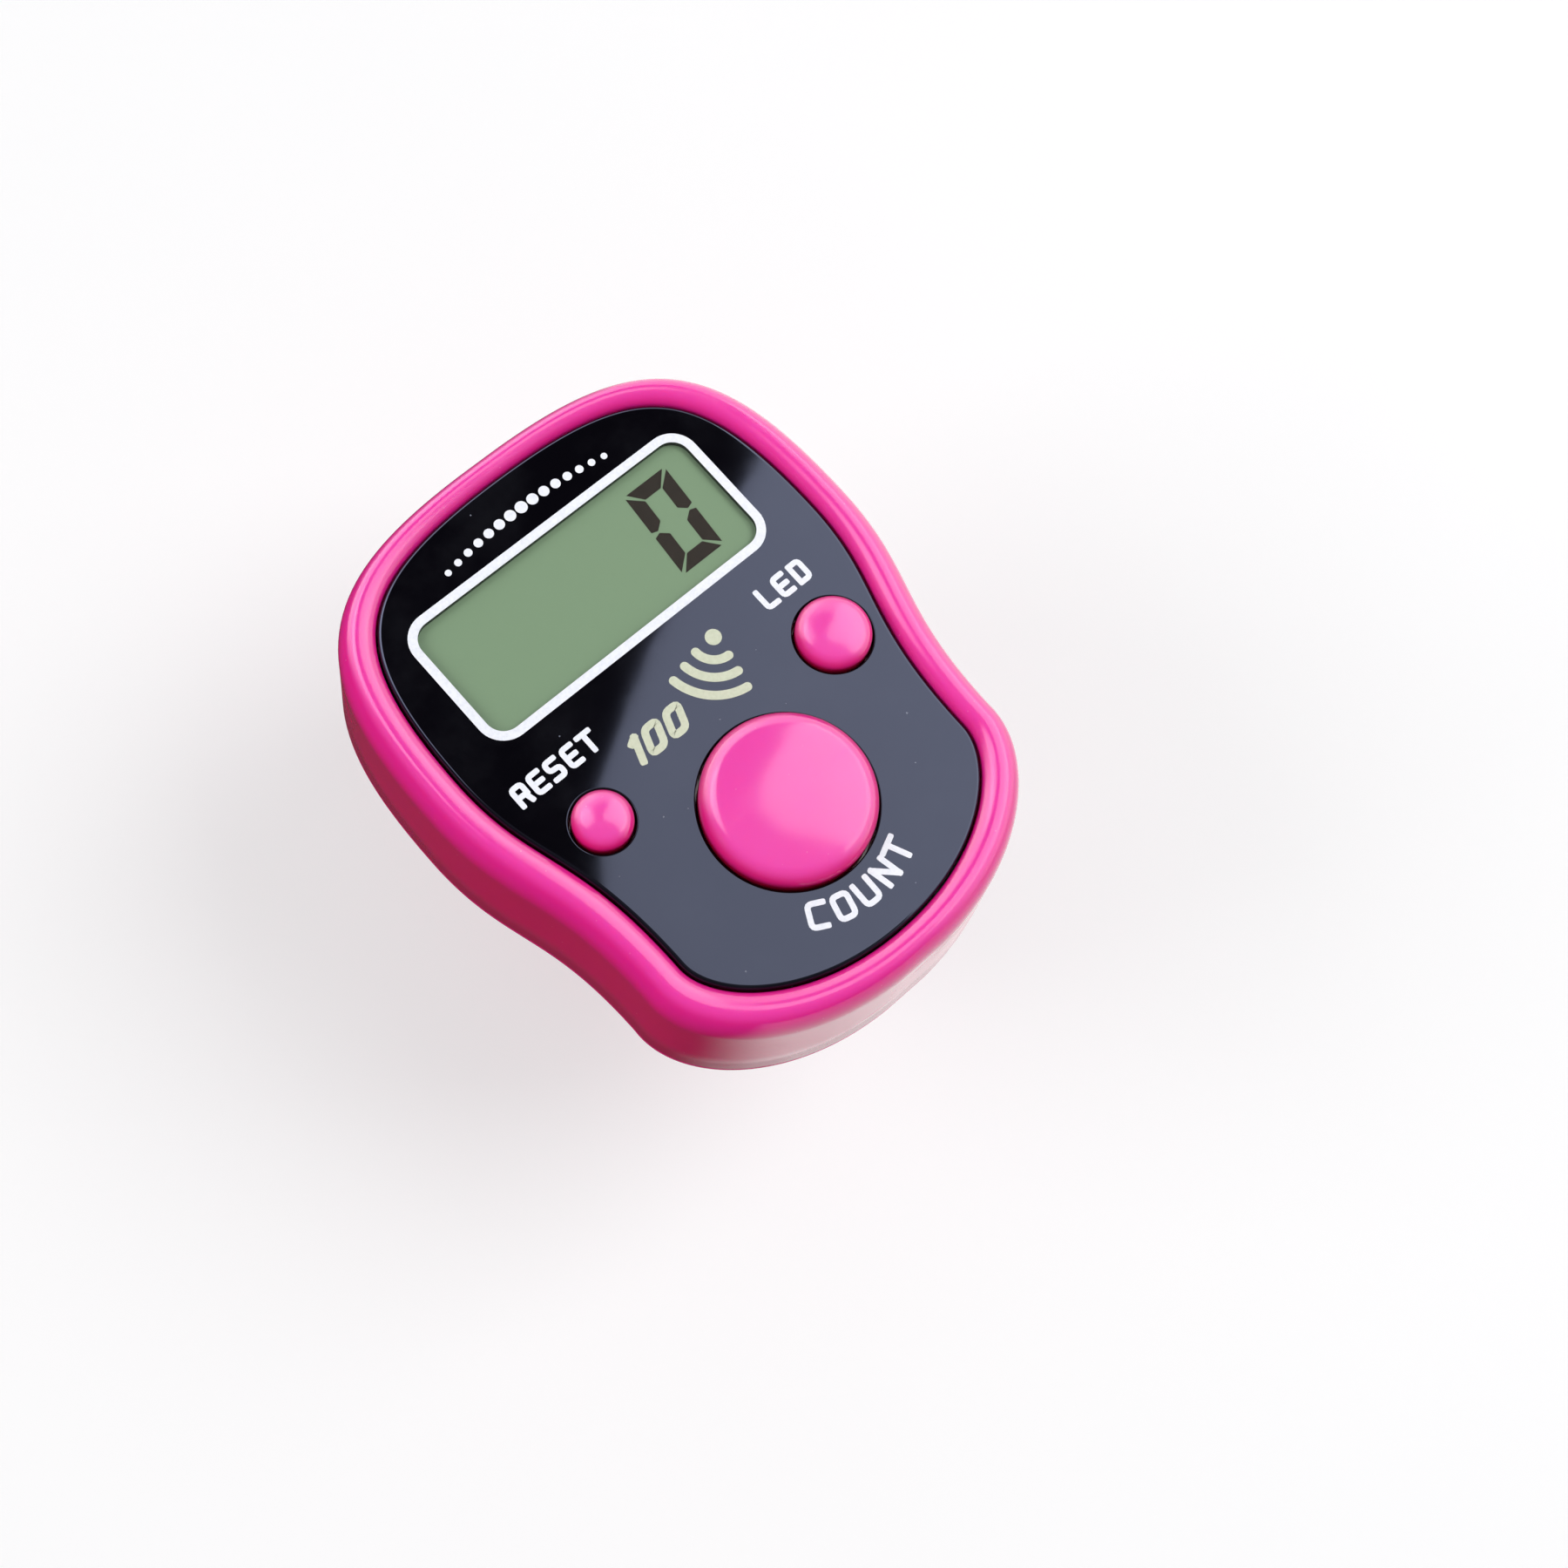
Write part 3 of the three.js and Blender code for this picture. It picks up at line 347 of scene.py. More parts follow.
def sunk(loop_at, mouth, floor):
    """Wall of a hole between two depths, from a loop as a function of its margin: a small quarter
    round at the mouth, then straight to the floor."""
    inwards = math.copysign(hole_round, floor - mouth)
    quarter = [(hole_round * (1 - math.cos(a)), mouth + inwards * (1 - math.sin(a)))
               for a in np.radians(np.linspace(90, 0, 4))]
    return with_margin(carried(loop_at, [*quarter, (0, floor)]))


def round_sink(radius, x, y, mouth, floor, sides):
    """A sunk hole whose loop is a circle."""
    return sunk(lambda margin: circle(radius + margin, x, y, sides), mouth, floor)


panel_rows = with_margin(carried(outline, [
    *bend(-panel_round, panel_round, panel_round, panel_round, 90, 0, 10), (0, panel_thickness)]))
holes = [round_sink(spec["radius"] + button_gap, spec["x"], spec["y"], 0.0, panel_thickness, 96)
         for spec in buttons.values()]
window_loop = rounded_box(window_width, window_height, window_radius, 0, display_y)
holes.append(np.stack([level(window_loop, depth) for depth in (0.0, panel_thickness)]))
panel = plate(panel_rows, through=holes).piece("face_panel_smooth", crease=50)

# %% [markdown]
# ## The display
#
# Behind the window a clear pane lies flush with the face, and right under it the display's
# polariser, which is what we see as grey-green. The digit is a layer of dark segments. We model the
# polariser and the segments as thin sheets so that the digit stays sharp from any side.

# %% Display
lens_thickness, pane_play, film_corner = 0.4, 0.05, 0.2
lens_loop = rounded_box(window_width - 2 * pane_play, window_height - 2 * pane_play, window_radius,
                        0, display_y)
lens = Skin().slab(lens_loop, 0.0, lens_thickness).piece("display_window")

glass_low, glass_high = (np.array(corner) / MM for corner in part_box("lcd_front_glass"))
film_top, film_foot = face_z - glass_high[2], face_z - glass_low[2]
film_loop = rounded_box(*(glass_high - glass_low)[:2], film_corner,
                        *middle_of(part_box("lcd_front_glass")), 3)
polariser = Skin().slab(film_loop, film_top, film_foot).piece("display_polariser")

digit_middle, digit_width, digit_height, digit_stroke = (7.12, 0.02), 3.46, 6.5, 1.0
digit_slant, digit_gap, digit_lift = 0.085, 0.075, 0.012
digit_point, digit_notch, digit_cut = 0.12, 0.15, 0.45


def segment_shapes():
    """The six lit segments of a nought. Corners count from the digit's foot at the left, the gap
    keeps neighbours apart along the mitred ends, and the inner ends are cut back at the middle."""
    w, h, t, g = digit_width, digit_height, digit_stroke, digit_gap
    cut, low = t * digit_cut, h / 2 + g
    top = [(g + digit_point, h), (w - g - digit_point, h), (w - t - g, h - t), (t + g, h - t)]
    upper = [(0, h - g - digit_point), (t, h - t - g), (t, low + cut), (cut, low), (0, low + digit_notch)]
    flip = lambda shape: [(x, h - y) for x, y in shape][::-1]
    mirror = lambda shape: [(w - x, y) for x, y in shape][::-1]
    return [top, flip(top), upper, flip(upper), mirror(upper), mirror(flip(upper))]


digit = Skin()
for shape in segment_shapes():
    spots = np.array(shape) - (digit_width / 2, digit_height / 2)
    spots[:, 0] += digit_slant * spots[:, 1]
    spots += (digit_middle[0], digit_middle[1] + display_y)
    digit.slab(spots, film_top - digit_lift, film_top + digit_lift)
digit = digit.piece("display_digit")

# %% [markdown]
# ## The buttons
#
# Each button is turned: a low crown, a rounded shoulder and a straight skirt that drops into its
# hole, with a flange below that keeps it in. A revolved profile is the natural way. The crown is a
# shallow dome, height less a rise times (r / R) squared, so it mirrors a lamp as a broad patch.

# %% Buttons
flange_reach, flange_gap, flange_thickness = 0.7, 0.1, 0.7
board_depth, dome_room, crown_rise, plunger_share = 4.4, 0.6, 0.4, 0.25


def button_profile(spec):
    """Pairs from the middle of the crown outwards and down to the plunger. The shoulder is a
    quarter ellipse that starts at the crown's own slope, so no line shows between them."""
    radius, height, edge = spec["radius"], spec["height"], spec["round"]
    flat = radius - edge
    ring = np.linspace(0, flat, 18)
    start = math.atan(2 * crown_rise * flat / radius**2)
    drop = crown_rise * (flat / radius) ** 2
    angle = np.linspace(start, math.pi / 2, 14)
    shoulder_x = flat + (np.sin(angle) - math.sin(start)) * edge / (1 - math.sin(start))
    shoulder_y = drop + (math.cos(start) - np.cos(angle)) * edge
    profile = [(r, -height + crown_rise * (r / radius) ** 2) for r in ring]
    profile += list(zip(shoulder_x[1:], -height + shoulder_y[1:]))
    flange, plunger = radius + flange_reach, radius * plunger_share
    flange_top, plunger_foot = deck_bottom + flange_gap, board_depth - dome_room
    flange_foot = flange_top + flange_thickness
    return profile + [(radius, flange_top), (flange, flange_top), (flange, flange_foot),
                      (plunger, flange_foot), (plunger, plunger_foot), (0, plunger_foot)]


button_pieces = {}
for name, spec in buttons.items():
    skin = Skin().grid(revolved(button_profile(spec), spec["x"], spec["y"]))
    button_pieces[name] = skin.piece(f"{name}_cap", crease=50)

# %% [markdown]
# A thin steel dome sits on the board under each plunger and gives the press its click. The press
# flattens it, so it is a piece of its own that can be squashed, with the plunger just clear of it.

# %% Snap domes
dome_height, dome_thickness, dome_left = 0.55, 0.15, 0.15
dome_reach = {"count": 2.6, "led": 1.65, "reset": 1.3}


def dome_skins(reach):
    """Under skin from the rim to the middle, and the skin over it from the middle to the rim. The
    height is a rise times 1 - (r / reach) squared, and the upper skin is one thickness higher."""
    share = np.linspace(1, 0, 13)
    under = [(reach * s, board_depth - (dome_height - dome_thickness) * (1 - s**2)) for s in share]
    return under, [(radius, depth - dome_thickness) for radius, depth in under[::-1]]


dome_pieces = {}
for name, spec in buttons.items():
    skin = Skin()
    under, over = dome_skins(dome_reach[name])
    for profile in (under, over, [over[-1], under[0]]):
        skin.grid(revolved(profile, spec["x"], spec["y"], 32))
    dome_pieces[name] = skin.piece(f"{name}_snap_dome", crease=50)

# %% [markdown]
# ## The prints
#
# The words are printed on the face in a squared lettering of even strokes, so each letter is a few
# paths with a stroke width. A font would bring its own style. A stroke is a flat section carried
# along its path. Where strokes cross, each is printed a few thousandths of a millimetre higher than
# the one before, because two faces at one height would flicker.

# %% Strokes
ink_lift, ink_step, blunt_tip, mitre_limit = 0.014, 0.004, 0.4, 0.6


def softened(path, radius, closed=False, steps=4):
    """Replaces each corner by a short curve that starts and ends the radius away from it, with
    weights (1-t)^2, 2(1-t)t and t^2 on start, corner and end."""
    path = np.asarray(path, float)
    count = len(path)
    share = np.linspace(0, 1, steps + 1)[:, None]
    spots = []
    for index in range(count):
        if not closed and index in (0, count - 1):
            spots.append(path[index:index + 1])
            continue
        before, here, after = path[index - 1], path[index], path[(index + 1) % count]
        near = min(radius, np.linalg.norm(here - before) / 2, np.linalg.norm(after - here) / 2)
        start = here + (before - here) / np.linalg.norm(before - here) * near
        stop = here + (after - here) / np.linalg.norm(after - here) * near
        spots.append((1 - share) ** 2 * start + 2 * (1 - share) * share * here + share**2 * stop)
    return np.concatenate(spots)


def stroke(skin, path, width, closed=False, tip=1.0, lift=0.0):
    """Carries a flat section along a path. Each row has the left and right edges at the foot and
    at the top of the ink. The ends add rows ahead by sin a, narrowed by cos a to the power of the
    tip: 1 is a half circle, and less is blunter."""
    path = np.asarray(path, float)
    ahead = np.roll(path, -1, 0) - path
    behind = path - np.roll(path, 1, 0)
    if not closed:
        ahead[-1], behind[0] = behind[-1], ahead[0]
    along = unit(unit(ahead) + unit(behind))
    half = (width / 2) / np.maximum((along * unit(ahead)).sum(1, keepdims=True), mitre_limit)
    side = np.column_stack([-along[:, 1], along[:, 0]])
    if not closed:
        turn = np.radians(np.linspace(0, 90, 8))[1:, None]
        further = np.sin(turn) * width / 2
        head, tail = path[-1] + along[-1] * further, path[0] - along[0] * further
        narrow = np.maximum(np.cos(turn), 0) ** tip * width / 2
        path = np.concatenate([tail[::-1], path, head])
        half = np.concatenate([narrow[::-1], half, narrow])
        side = np.pad(side, ((len(turn), len(turn)), (0, 0)), "edge")
    left, right = path + side * half, path - side * half
    low, high = ink_lift, -ink_lift - lift
    columns = [level(left, low), level(left, high), level(right, high), level(right, low)]
    skin.grid(np.stack(columns, axis=1), wrap_rows=closed)


letters = {
    "C": [[(1, 1), (0, 1), (0, 0), (1, 0)]],
    "O": [[(0, 0), (0, 1), (1, 1), (1, 0)]],
    "U": [[(0, 1), (0, 0), (1, 0), (1, 1)]],
    "N": [[(0, 0), (0, 1)], [(0, 1), (1, 0)], [(1, 0), (1, 1)]],
    "T": [[(-0.1, 1), (1.1, 1)], [(0.5, 1), (0.5, 0)]],
    "R": [[(0, 0), (0, 1), (1, 1), (1, 0.45)], [(1, 0.45), (0, 0.45)], [(0.8, 0.45), (1, 0)]],
    "E": [[(1, 1), (0, 1), (0, 0), (1, 0)], [(0.1, 0.5), (0.92, 0.5)]],
    "S": [[(1, 1), (0, 1), (0, 0.52), (1, 0.48), (1, 0), (0, 0)]],
    "L": [[(0, 1), (0, 0), (1, 0)]],
    "D": [[(0, 0), (0, 1)], [(0, 1), (1, 1), (1, 0), (0, 0)]],
    "1": [[(0.35, 0.84), (0.75, 1)], [(0.75, 1), (0.75, 0)]],
}
letters["0"] = letters["O"]


def write(skin, letter, x, y, width, height, weight, turn=0.0, slant=0.0, soft=0.3):
    """Scales a letter's paths to its box less the stroke, leans them by the slant, turns them and
    moves them to their place on the face. Only the path of a round letter is closed."""
    closed = letter in "O0"
    c, s = math.cos(turn), math.sin(turn)
    for order, path in enumerate(letters[letter]):
        spots = (np.array(path, float) - 0.5) * (width - weight, height - weight)
        spots = softened(spots, soft, closed)
        spots[:, 0] += slant * spots[:, 1]
        spots = spots @ np.array([[c, s], [-s, c]]) + (x, y + display_y)
        stroke(skin, spots, weight, closed, tip=blunt_tip, lift=ink_step * order)


# %% White prints
word_radius, border_width = 7.45, 0.62
straight_words = (
    ("RESET", (-12.32, -11.02, -9.7, -8.35, -6.97), -8.03, (1.1, 1.62, 0.36), 0.24),
    ("LED", (8.09, 9.43, 10.87), -7.9, (1.15, 1.7, 0.38), 0.28),
)
white_print = Skin()
for word, places, y, letter_size, soft in straight_words:
    for letter, x in zip(word, places):
        write(white_print, letter, x, y, *letter_size, soft=soft)
for letter, angle in zip("COUNT", (-28.0, -14.6, -1.2, 12.2, 24.8)):
    lean = math.radians(angle)
    x, y = word_radius * math.sin(lean), -count_drop - word_radius * math.cos(lean)
    write(white_print, letter, x, y, 1.4, 1.9, 0.38, turn=lean, soft=0.34)
border = rounded_box(window_width + border_width, window_height + border_width,
                     window_radius + border_width / 2, 0, display_y)
stroke(white_print, border, border_width, closed=True)

# %% [markdown]
# Above the display the face has room for a small ornament, and a row of beads suits a counter:
# fifteen dots that shrink towards both ends, on a line that drops a little there.

# %% Row of beads
bead_radius, bead_taper, bead_pitch, bead_height, bead_sag = 0.42, 0.028, 0.92, 6.75, 0.012
for index in range(-7, 8):
    y = bead_height + display_y - bead_sag * index**2
    dot = circle(bead_radius - bead_taper * abs(index), index * bead_pitch, y, 24)
    white_print.slab(dot, -ink_lift, ink_lift)
white_print = white_print.piece("white_print", crease=30)

# %% Pale green prints
sign_x, sign_y, sign_dot, sign_weight = 3.62, display_y - 7.75, 0.55, 0.6
khaki_print = Skin()
for figure, x, width in (("1", -5.1, 1.3), ("0", -3.62, 1.5), ("0", -1.87, 1.5)):
    write(khaki_print, figure, x, -10.4, width, 2.05, 0.5, slant=0.36, soft=0.35)
khaki_print.slab(circle(sign_dot, sign_x, sign_y, 32), -ink_lift, ink_lift)
for radius, start, stop in ((1.54, 182, 268), (2.72, 187, 264), (3.92, 189, 262)):
    angle = np.radians(np.linspace(start, stop, 20))
    arc = (sign_x, sign_y) + radius * np.column_stack([np.cos(angle), np.sin(angle)])
    stroke(khaki_print, arc, sign_weight)
khaki_print = khaki_print.piece("sound_print", crease=30)

# %% [markdown]
# ## The back
#
# The back cover closes the casing with a rounded edge, four sunk screw holes, a battery door in a
# recess and two low bridges for the strap. It is the same kind of plate as the face, seen from
# below, so its sinks and its recess are hole walls that end in a floor.

# %% Back cover
back_depth, back_round, seam_gap = 11.1, 1.1, 0.01
sink_radius, sink_depth = 1.6, 0.7
door_recess, door_play, door_corner = 0.95, 0.15, 6.2
screw_spots = [middle_of(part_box(f"case_screw_{n}")) for n in (1, 2, 3, 4)]
door_low, door_high = (np.array(corner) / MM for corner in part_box("battery_door"))
door_size, door_middle = (door_high - door_low)[:2], middle_of(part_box("battery_door"))


def door_loop(margin):
    """Outline of the door, grown by a margin."""
    return rounded_box(*(door_size + 2 * margin), door_corner + margin, *door_middle, 16)


def screw_sink(x, y, depth):
    """A round sink in the back for the head of a screw."""
    return round_sink(sink_radius, x, y, back_depth, back_depth - depth, 48)


cover_rows = with_margin(carried(outline, [
    *bend(wall_foot - back_round, back_depth - back_round, back_round, -back_round, 90, 0, 12),
    (wall_foot, wall_depth + seam_bevel),
    (wall_foot - seam_bevel, wall_depth + seam_gap),
    (inner_wall, wall_depth + seam_gap),
]))
door_seat = sunk(lambda margin: door_loop(door_play + margin), back_depth, back_depth - door_recess)
sinks = [*[screw_sink(x, y, sink_depth) for x, y in screw_spots], door_seat]
cover = plate(cover_rows, blind=sinks).piece("back_cover_smooth", crease=40)

# %% [markdown]
# The strap runs under two arches. Each is a thick flat hoop: an outer and an inner line in the
# plane across the counter, carried along by its breadth, with a small round on every long edge.

# %% Strap bridges
strap_width, strap_thickness, strap_play = 8.0, 1.4, 0.3
bridge_reach, bridge_breadth, bridge_thickness, bridge_post = 10.2, 1.9, 1.3, 1.5
strap_top = back_depth + strap_play
slot_half = strap_width / 2 + strap_play
slot_depth = strap_top + strap_thickness + strap_play


def arch(skin, y, ease=0.25, root_sink=0.3, slot_round=0.3):
    """A closed hoop section: outer line with round corners, inner line with nearly square ones.
    With the depth drawn upwards it runs clockwise, so its direction turned left points out of it.
    Rows run along y, and the first and last are drawn in by the ease to round the edges."""
    root, foot = back_depth - root_sink, slot_depth + bridge_thickness
    half = slot_half + bridge_post
    turn = np.radians(np.linspace(180, 90, 9))
    corner = bridge_post * np.column_stack([np.cos(turn), np.sin(turn)])
    outer = (bridge_post - half, foot - bridge_post) + corner
    outer = np.concatenate([[(-half, root)], outer, outer[::-1] * (-1, 1), [(half, root)]])
    inner = softened([(slot_half, root), (slot_half, slot_depth), (-slot_half, slot_depth),
                      (-slot_half, root)], slot_round)
    line = np.concatenate([outer, inner])
    along = unit(unit(np.roll(line, -1, 0) - line) + unit(line - np.roll(line, 1, 0)))
    away = np.column_stack([-along[:, 1], along[:, 0]])
    rows = []
    for side in (-1, 1):
        for a in np.radians(np.linspace(0, 90, 5))[::side]:
            spots = line - away * ease * (1 - np.cos(a))
            place = y + side * (bridge_breadth / 2 - ease * (1 - np.sin(a)))
            rows.append(np.column_stack([spots[:, 0], np.full(len(spots), place), face_z - spots[:, 1]]))
    skin.grid(np.stack(rows)).fill(rows[0]).fill(rows[-1])


bridges = Skin()
for side in (-1, 1):
    arch(bridges, side * bridge_reach)
bridges = bridges.piece("strap_bridges", crease=40)

# %% Battery door
door_thickness, door_round, door_sink_depth = 0.9, 0.15, 0.5
rib_start, rib_pitch, rib_half, rib_taper = 7.2, 0.95, 2.3, 0.16
rib_width, rib_height, rib_root = 0.2, 0.17, 0.06
screw_x, screw_y = middle_of(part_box("battery_door_screw"))

door_rows = with_margin(carried(door_loop, [
    *bend(-door_round, back_depth - door_round, door_round, -door_round, 90, 0, 5),
    (0, back_depth - door_thickness),
]))
door = plate(door_rows, blind=[screw_sink(screw_x, screw_y, door_sink_depth)])


def finger_rib(x, half):
    """A half round rib across the door. Its ends thin out by the root of 1 - (y / half)^6."""
    y, turn = np.linspace(-half, half, 12)[:, None], np.radians(np.linspace(0, 180, 9))
    thick = np.sqrt(np.maximum(1 - (y / half) ** 6, 0.0))
    height = rib_height * thick * np.sin(turn) - rib_root
    return np.stack([x + rib_width * thick * np.cos(turn), door_middle[1] + y + 0 * turn,
                     face_z - back_depth - height], axis=-1)


for side in (-1, 1):
    for index in range(5):
        door.grid(finger_rib(side * (rib_start + rib_pitch * index), rib_half - rib_taper * index))
door = door.piece("battery_door_smooth", crease=40)

# %% [markdown]
# ## Screws
#
# Five small pan-head screws hold the cover and the door. A head is a round grid on which the
# height is a dome less a cross, and the cross is one inside either of its arms.

# %% Screws
screw_head_radius, screw_head_height, screw_shank, screw_turn = 1.5, 0.5, 0.8, 0.4
head_drop, head_power = 0.24, 2.6
cross_width, cross_reach, cross_depth = (0.15, 0.22), (0.85, 0.98), 0.32
case_screw_sunk, case_screw_length, door_screw_length = 0.2, 5.2, 3.2


def ramp(value, low, high):
    """Smooth step: t squared times (3 - 2 t), with t the value's share between low and high."""
    t = np.clip((value - low) / (high - low), 0, 1)
    return t * t * (3 - 2 * t)


def screw(x, y, top, length):
    """Rings of a polar grid, from the middle of the head down to the tip of the shank. The head is
    a shallow dome. Its cross is sunk where one coordinate is within the width of an arm and the
    other within its reach, and both limits are smooth steps."""
    ring = np.linspace(0, 1, 26)[:, None] * screw_head_radius
    turn = np.arange(72) * 2 * np.pi / 72 + screw_turn
    px, py = ring * np.cos(turn), ring * np.sin(turn)
    ax, ay = np.abs(px), np.abs(py)
    arm = np.maximum((1 - ramp(ax, *cross_width)) * (1 - ramp(ay, *cross_reach)),
                     (1 - ramp(ay, *cross_width)) * (1 - ramp(ax, *cross_reach)))
    fall = 1 - np.sqrt(np.maximum(1 - (ring / screw_head_radius) ** head_power, 0))
    depth = top - head_drop * fall - cross_depth * arm
    head = np.stack([x + px, y + py, face_z - depth], axis=-1)
    neck = top - screw_head_height
    tip = neck - length
    shank = revolved([(screw_head_radius, neck), (screw_shank, neck),
                      (screw_shank, tip + screw_shank), (0, tip)], x, y, 72, screw_turn)
    return Skin().grid(np.concatenate([head, shank]))


screw_pieces = []
for number, (x, y) in enumerate(screw_spots, 1):
    skin = screw(x, y, back_depth - case_screw_sunk, case_screw_length)
    screw_pieces.append((skin.piece(f"case_screw_{number}_head", crease=50), f"case_screw_{number}"))
skin = screw(screw_x, screw_y, back_depth, door_screw_length)
screw_pieces.append((skin.piece("door_screw_head", crease=50), "battery_door_screw"))

# %% [markdown]
# ## The strap
#
# The strap is one soft band: it starts under the finger, goes up one side, across the back of the
# casing, down the other side, and overlaps its own start, where two studs button it. Its middle
# line is straight stretches and arcs, and a section with round edges is carried along it.

# %% Strap line
strap_turn, strap_lean, strap_bend = 2.6, 12, 8.0
finger_depth, strap_tail, stud_pitch, stud_tip = 16.6, 10.5, 4.4, 4.4
strap_step, tip_width, side_power, face_power, edge_share = 0.45, 0.02, 0.35, 0.5, 0.75
strap_layer = strap_thickness + strap_play
tail_bend = strap_bend + strap_layer


def strap_side(extra, steps=14):
    """Half of the middle line as (y, depth): an arc of strap_turn from flat to leaning, a straight
    side, and an arc of strap_bend back to flat. The straight fills what the arcs leave of the drop."""
    line = strap_top + strap_thickness / 2
    start = bridge_reach + bridge_breadth / 2 + strap_play
    lean = math.radians(90 + strap_lean)
    drop = finger_depth + strap_thickness + extra
    turns = strap_turn * (1 - math.cos(lean)) + strap_bend * (1 + math.cos(lean))
    straight = (drop - turns) / math.sin(lean)
    angle = np.linspace(0, lean, steps)
    upper = np.column_stack([start + strap_turn * np.sin(angle), line + strap_turn * (1 - np.cos(angle))])
    knee = upper[-1] + np.array([math.cos(lean), math.sin(lean)]) * straight
    centre = knee - np.array([math.sin(lean), -math.cos(lean)]) * strap_bend
    angle = np.linspace(lean, math.pi, steps + 6)
    lower = centre + np.column_stack([np.sin(angle), -np.cos(angle)]) * strap_bend
    return np.concatenate([upper, lower]), centre


def strap_line():
    """Inner end, one side up, across the back, the other side down, the outer flat and its tail."""
    inner, centre = strap_side(0)
    outer, _ = strap_side(strap_layer)
    mirrored = (inner * (-1, 1))[::-1]
    angle = math.pi + np.linspace(0, strap_tail / tail_bend, 14)
    tail = np.array([-centre[0], centre[1]]) + np.column_stack([np.sin(angle), -np.cos(angle)]) * tail_bend
    return np.concatenate([[(stud_tip, mirrored[0][1])], mirrored, outer, tail])


def evenly(line, step):
    """Points along a broken line at even distances, by interpolating on its running length."""
    length = np.concatenate([[0], np.cumsum(np.linalg.norm(np.diff(line, axis=0), axis=1))])
    keep = np.concatenate([[True], np.diff(length) > 1e-9])
    line, length = line[keep], length[keep]
    places = np.linspace(0, length[-1], int(length[-1] / step))
    return np.column_stack([np.interp(places, length, line[:, k]) for k in (0, 1)]), places


def powered(value, power):
    """Size of a value to a power, with the sign kept: powers under 1 square a circle up."""
    return np.sign(value) * np.abs(value) ** power


def strap_skin():
    """A flattened loop with round edges carried along the line. At both ends the half width
    follows a circle, so the tips are round when seen flat."""
    line, places = evenly(strap_line(), strap_step)
    half, whole = strap_width / 2, places[-1]
    tips = np.minimum(places, whole - places)
    ends = (1 - np.cos(np.linspace(0, math.pi / 2, 10)))[1:] * half
    lengths = np.unique(np.concatenate([places[(tips > half) | (tips == 0)], ends, whole - ends]))
    line = np.column_stack([np.interp(lengths, places, line[:, k]) for k in (0, 1)])
    along = unit(np.gradient(line, lengths, axis=0))
    normal = np.column_stack([-along[:, 1], along[:, 0]])
    reach = np.minimum(np.minimum(lengths, whole - lengths), half)
    width = np.sqrt(np.maximum(half**2 - (half - reach) ** 2, 0))
    width = np.maximum(width, tip_width)[:, None]
    turn = np.arange(40) * 2 * np.pi / 40
    across, through = powered(np.cos(turn), side_power), powered(np.sin(turn), face_power)
    edge = edge_share * strap_thickness / 2
    x = np.maximum(width - edge, 0) * across + np.minimum(width, edge) * np.cos(turn)
    flat = line[:, None] + strap_thickness / 2 * through[:, None] * normal[:, None]
    rows = np.stack([x, flat[..., 0], face_z - flat[..., 1]], axis=-1)
    return Skin().grid(rows).fill(rows[0]).fill(rows[-1])


strap = strap_skin().piece("finger_strap", crease=50)

# %% [markdown]
# Holes for the studs are the one place where a cut is simpler than a surface, because they cross a
# curved band. Each hole is two plain rods, a narrow one and a wide one for the stud's head, and a
# Boolean modifier takes them out. The studs are then turned and set into the first two holes.

# %% Strap holes and studs
stud_radius, stud_head_radius, stud_lip, stud_flare, stud_neck = 0.9, 1.35, 0.12, 0.25, 1.5
crown_start, crown_height_share, crown_depth, stud_squat = 5.73, 0.22, 1.72, 0.86
stud_foot, stud_sink = -0.05, 0.02
hole_shapes, hole_end = (("narrow", 1.05, -0.15), ("wide", 1.5, 0.7)), 2.4
outer_top = strap_top + 2 * strap_thickness + finger_depth + strap_play


def rod(name, radius, start, stop, place, angle):
    """A rod between two distances along an axis in the strap's plane, which sets off at a place
    (y, depth) and leans from straight down by the angle."""
    rows = []
    for distance in (start, stop):
        x, side = circle(radius, 0, 0, 32).T
        y = place[0] + side * math.cos(angle) - distance * math.sin(angle)
        depth = place[1] + side * math.sin(angle) + distance * math.cos(angle)
        rows.append(np.stack([x, y, face_z - depth], axis=-1))
    return Skin().grid(np.stack(rows)).fill(rows[0]).fill(rows[-1]).piece(name)


_, bend_centre = strap_side(0)
hole_places = [((y, outer_top), 0.0) for y in (-stud_pitch / 2, stud_pitch / 2)]
for pitches in (1, 2):
    angle = ((pitches + 0.5) * stud_pitch - bend_centre[0]) / tail_bend
    inside = tail_bend - strap_thickness / 2
    place = (-bend_centre[0] - inside * math.sin(angle), bend_centre[1] + inside * math.cos(angle))
    hole_places.append((place, angle))
for number, (place, angle) in enumerate(hole_places):
    for kind, radius, start in hole_shapes:
        cutter = rod(f"cutter_{number}_{kind}", radius, start, hole_end, place, angle)
        cut = strap.modifiers.new("cut", "BOOLEAN")
        cut.operation, cut.solver, cut.object = "DIFFERENCE", "EXACT", cutter
        worked_out = strap.evaluated_get(bpy.context.evaluated_depsgraph_get())
        cut_mesh = bpy.data.meshes.new_from_object(worked_out)
        strap.modifiers.clear()
        strap.data = cut_mesh
        bpy.data.objects.remove(cutter)
strap.data.set_sharp_from_angle(angle=math.radians(50))
print("strap after its holes:", len(strap.data.polygons), "faces")

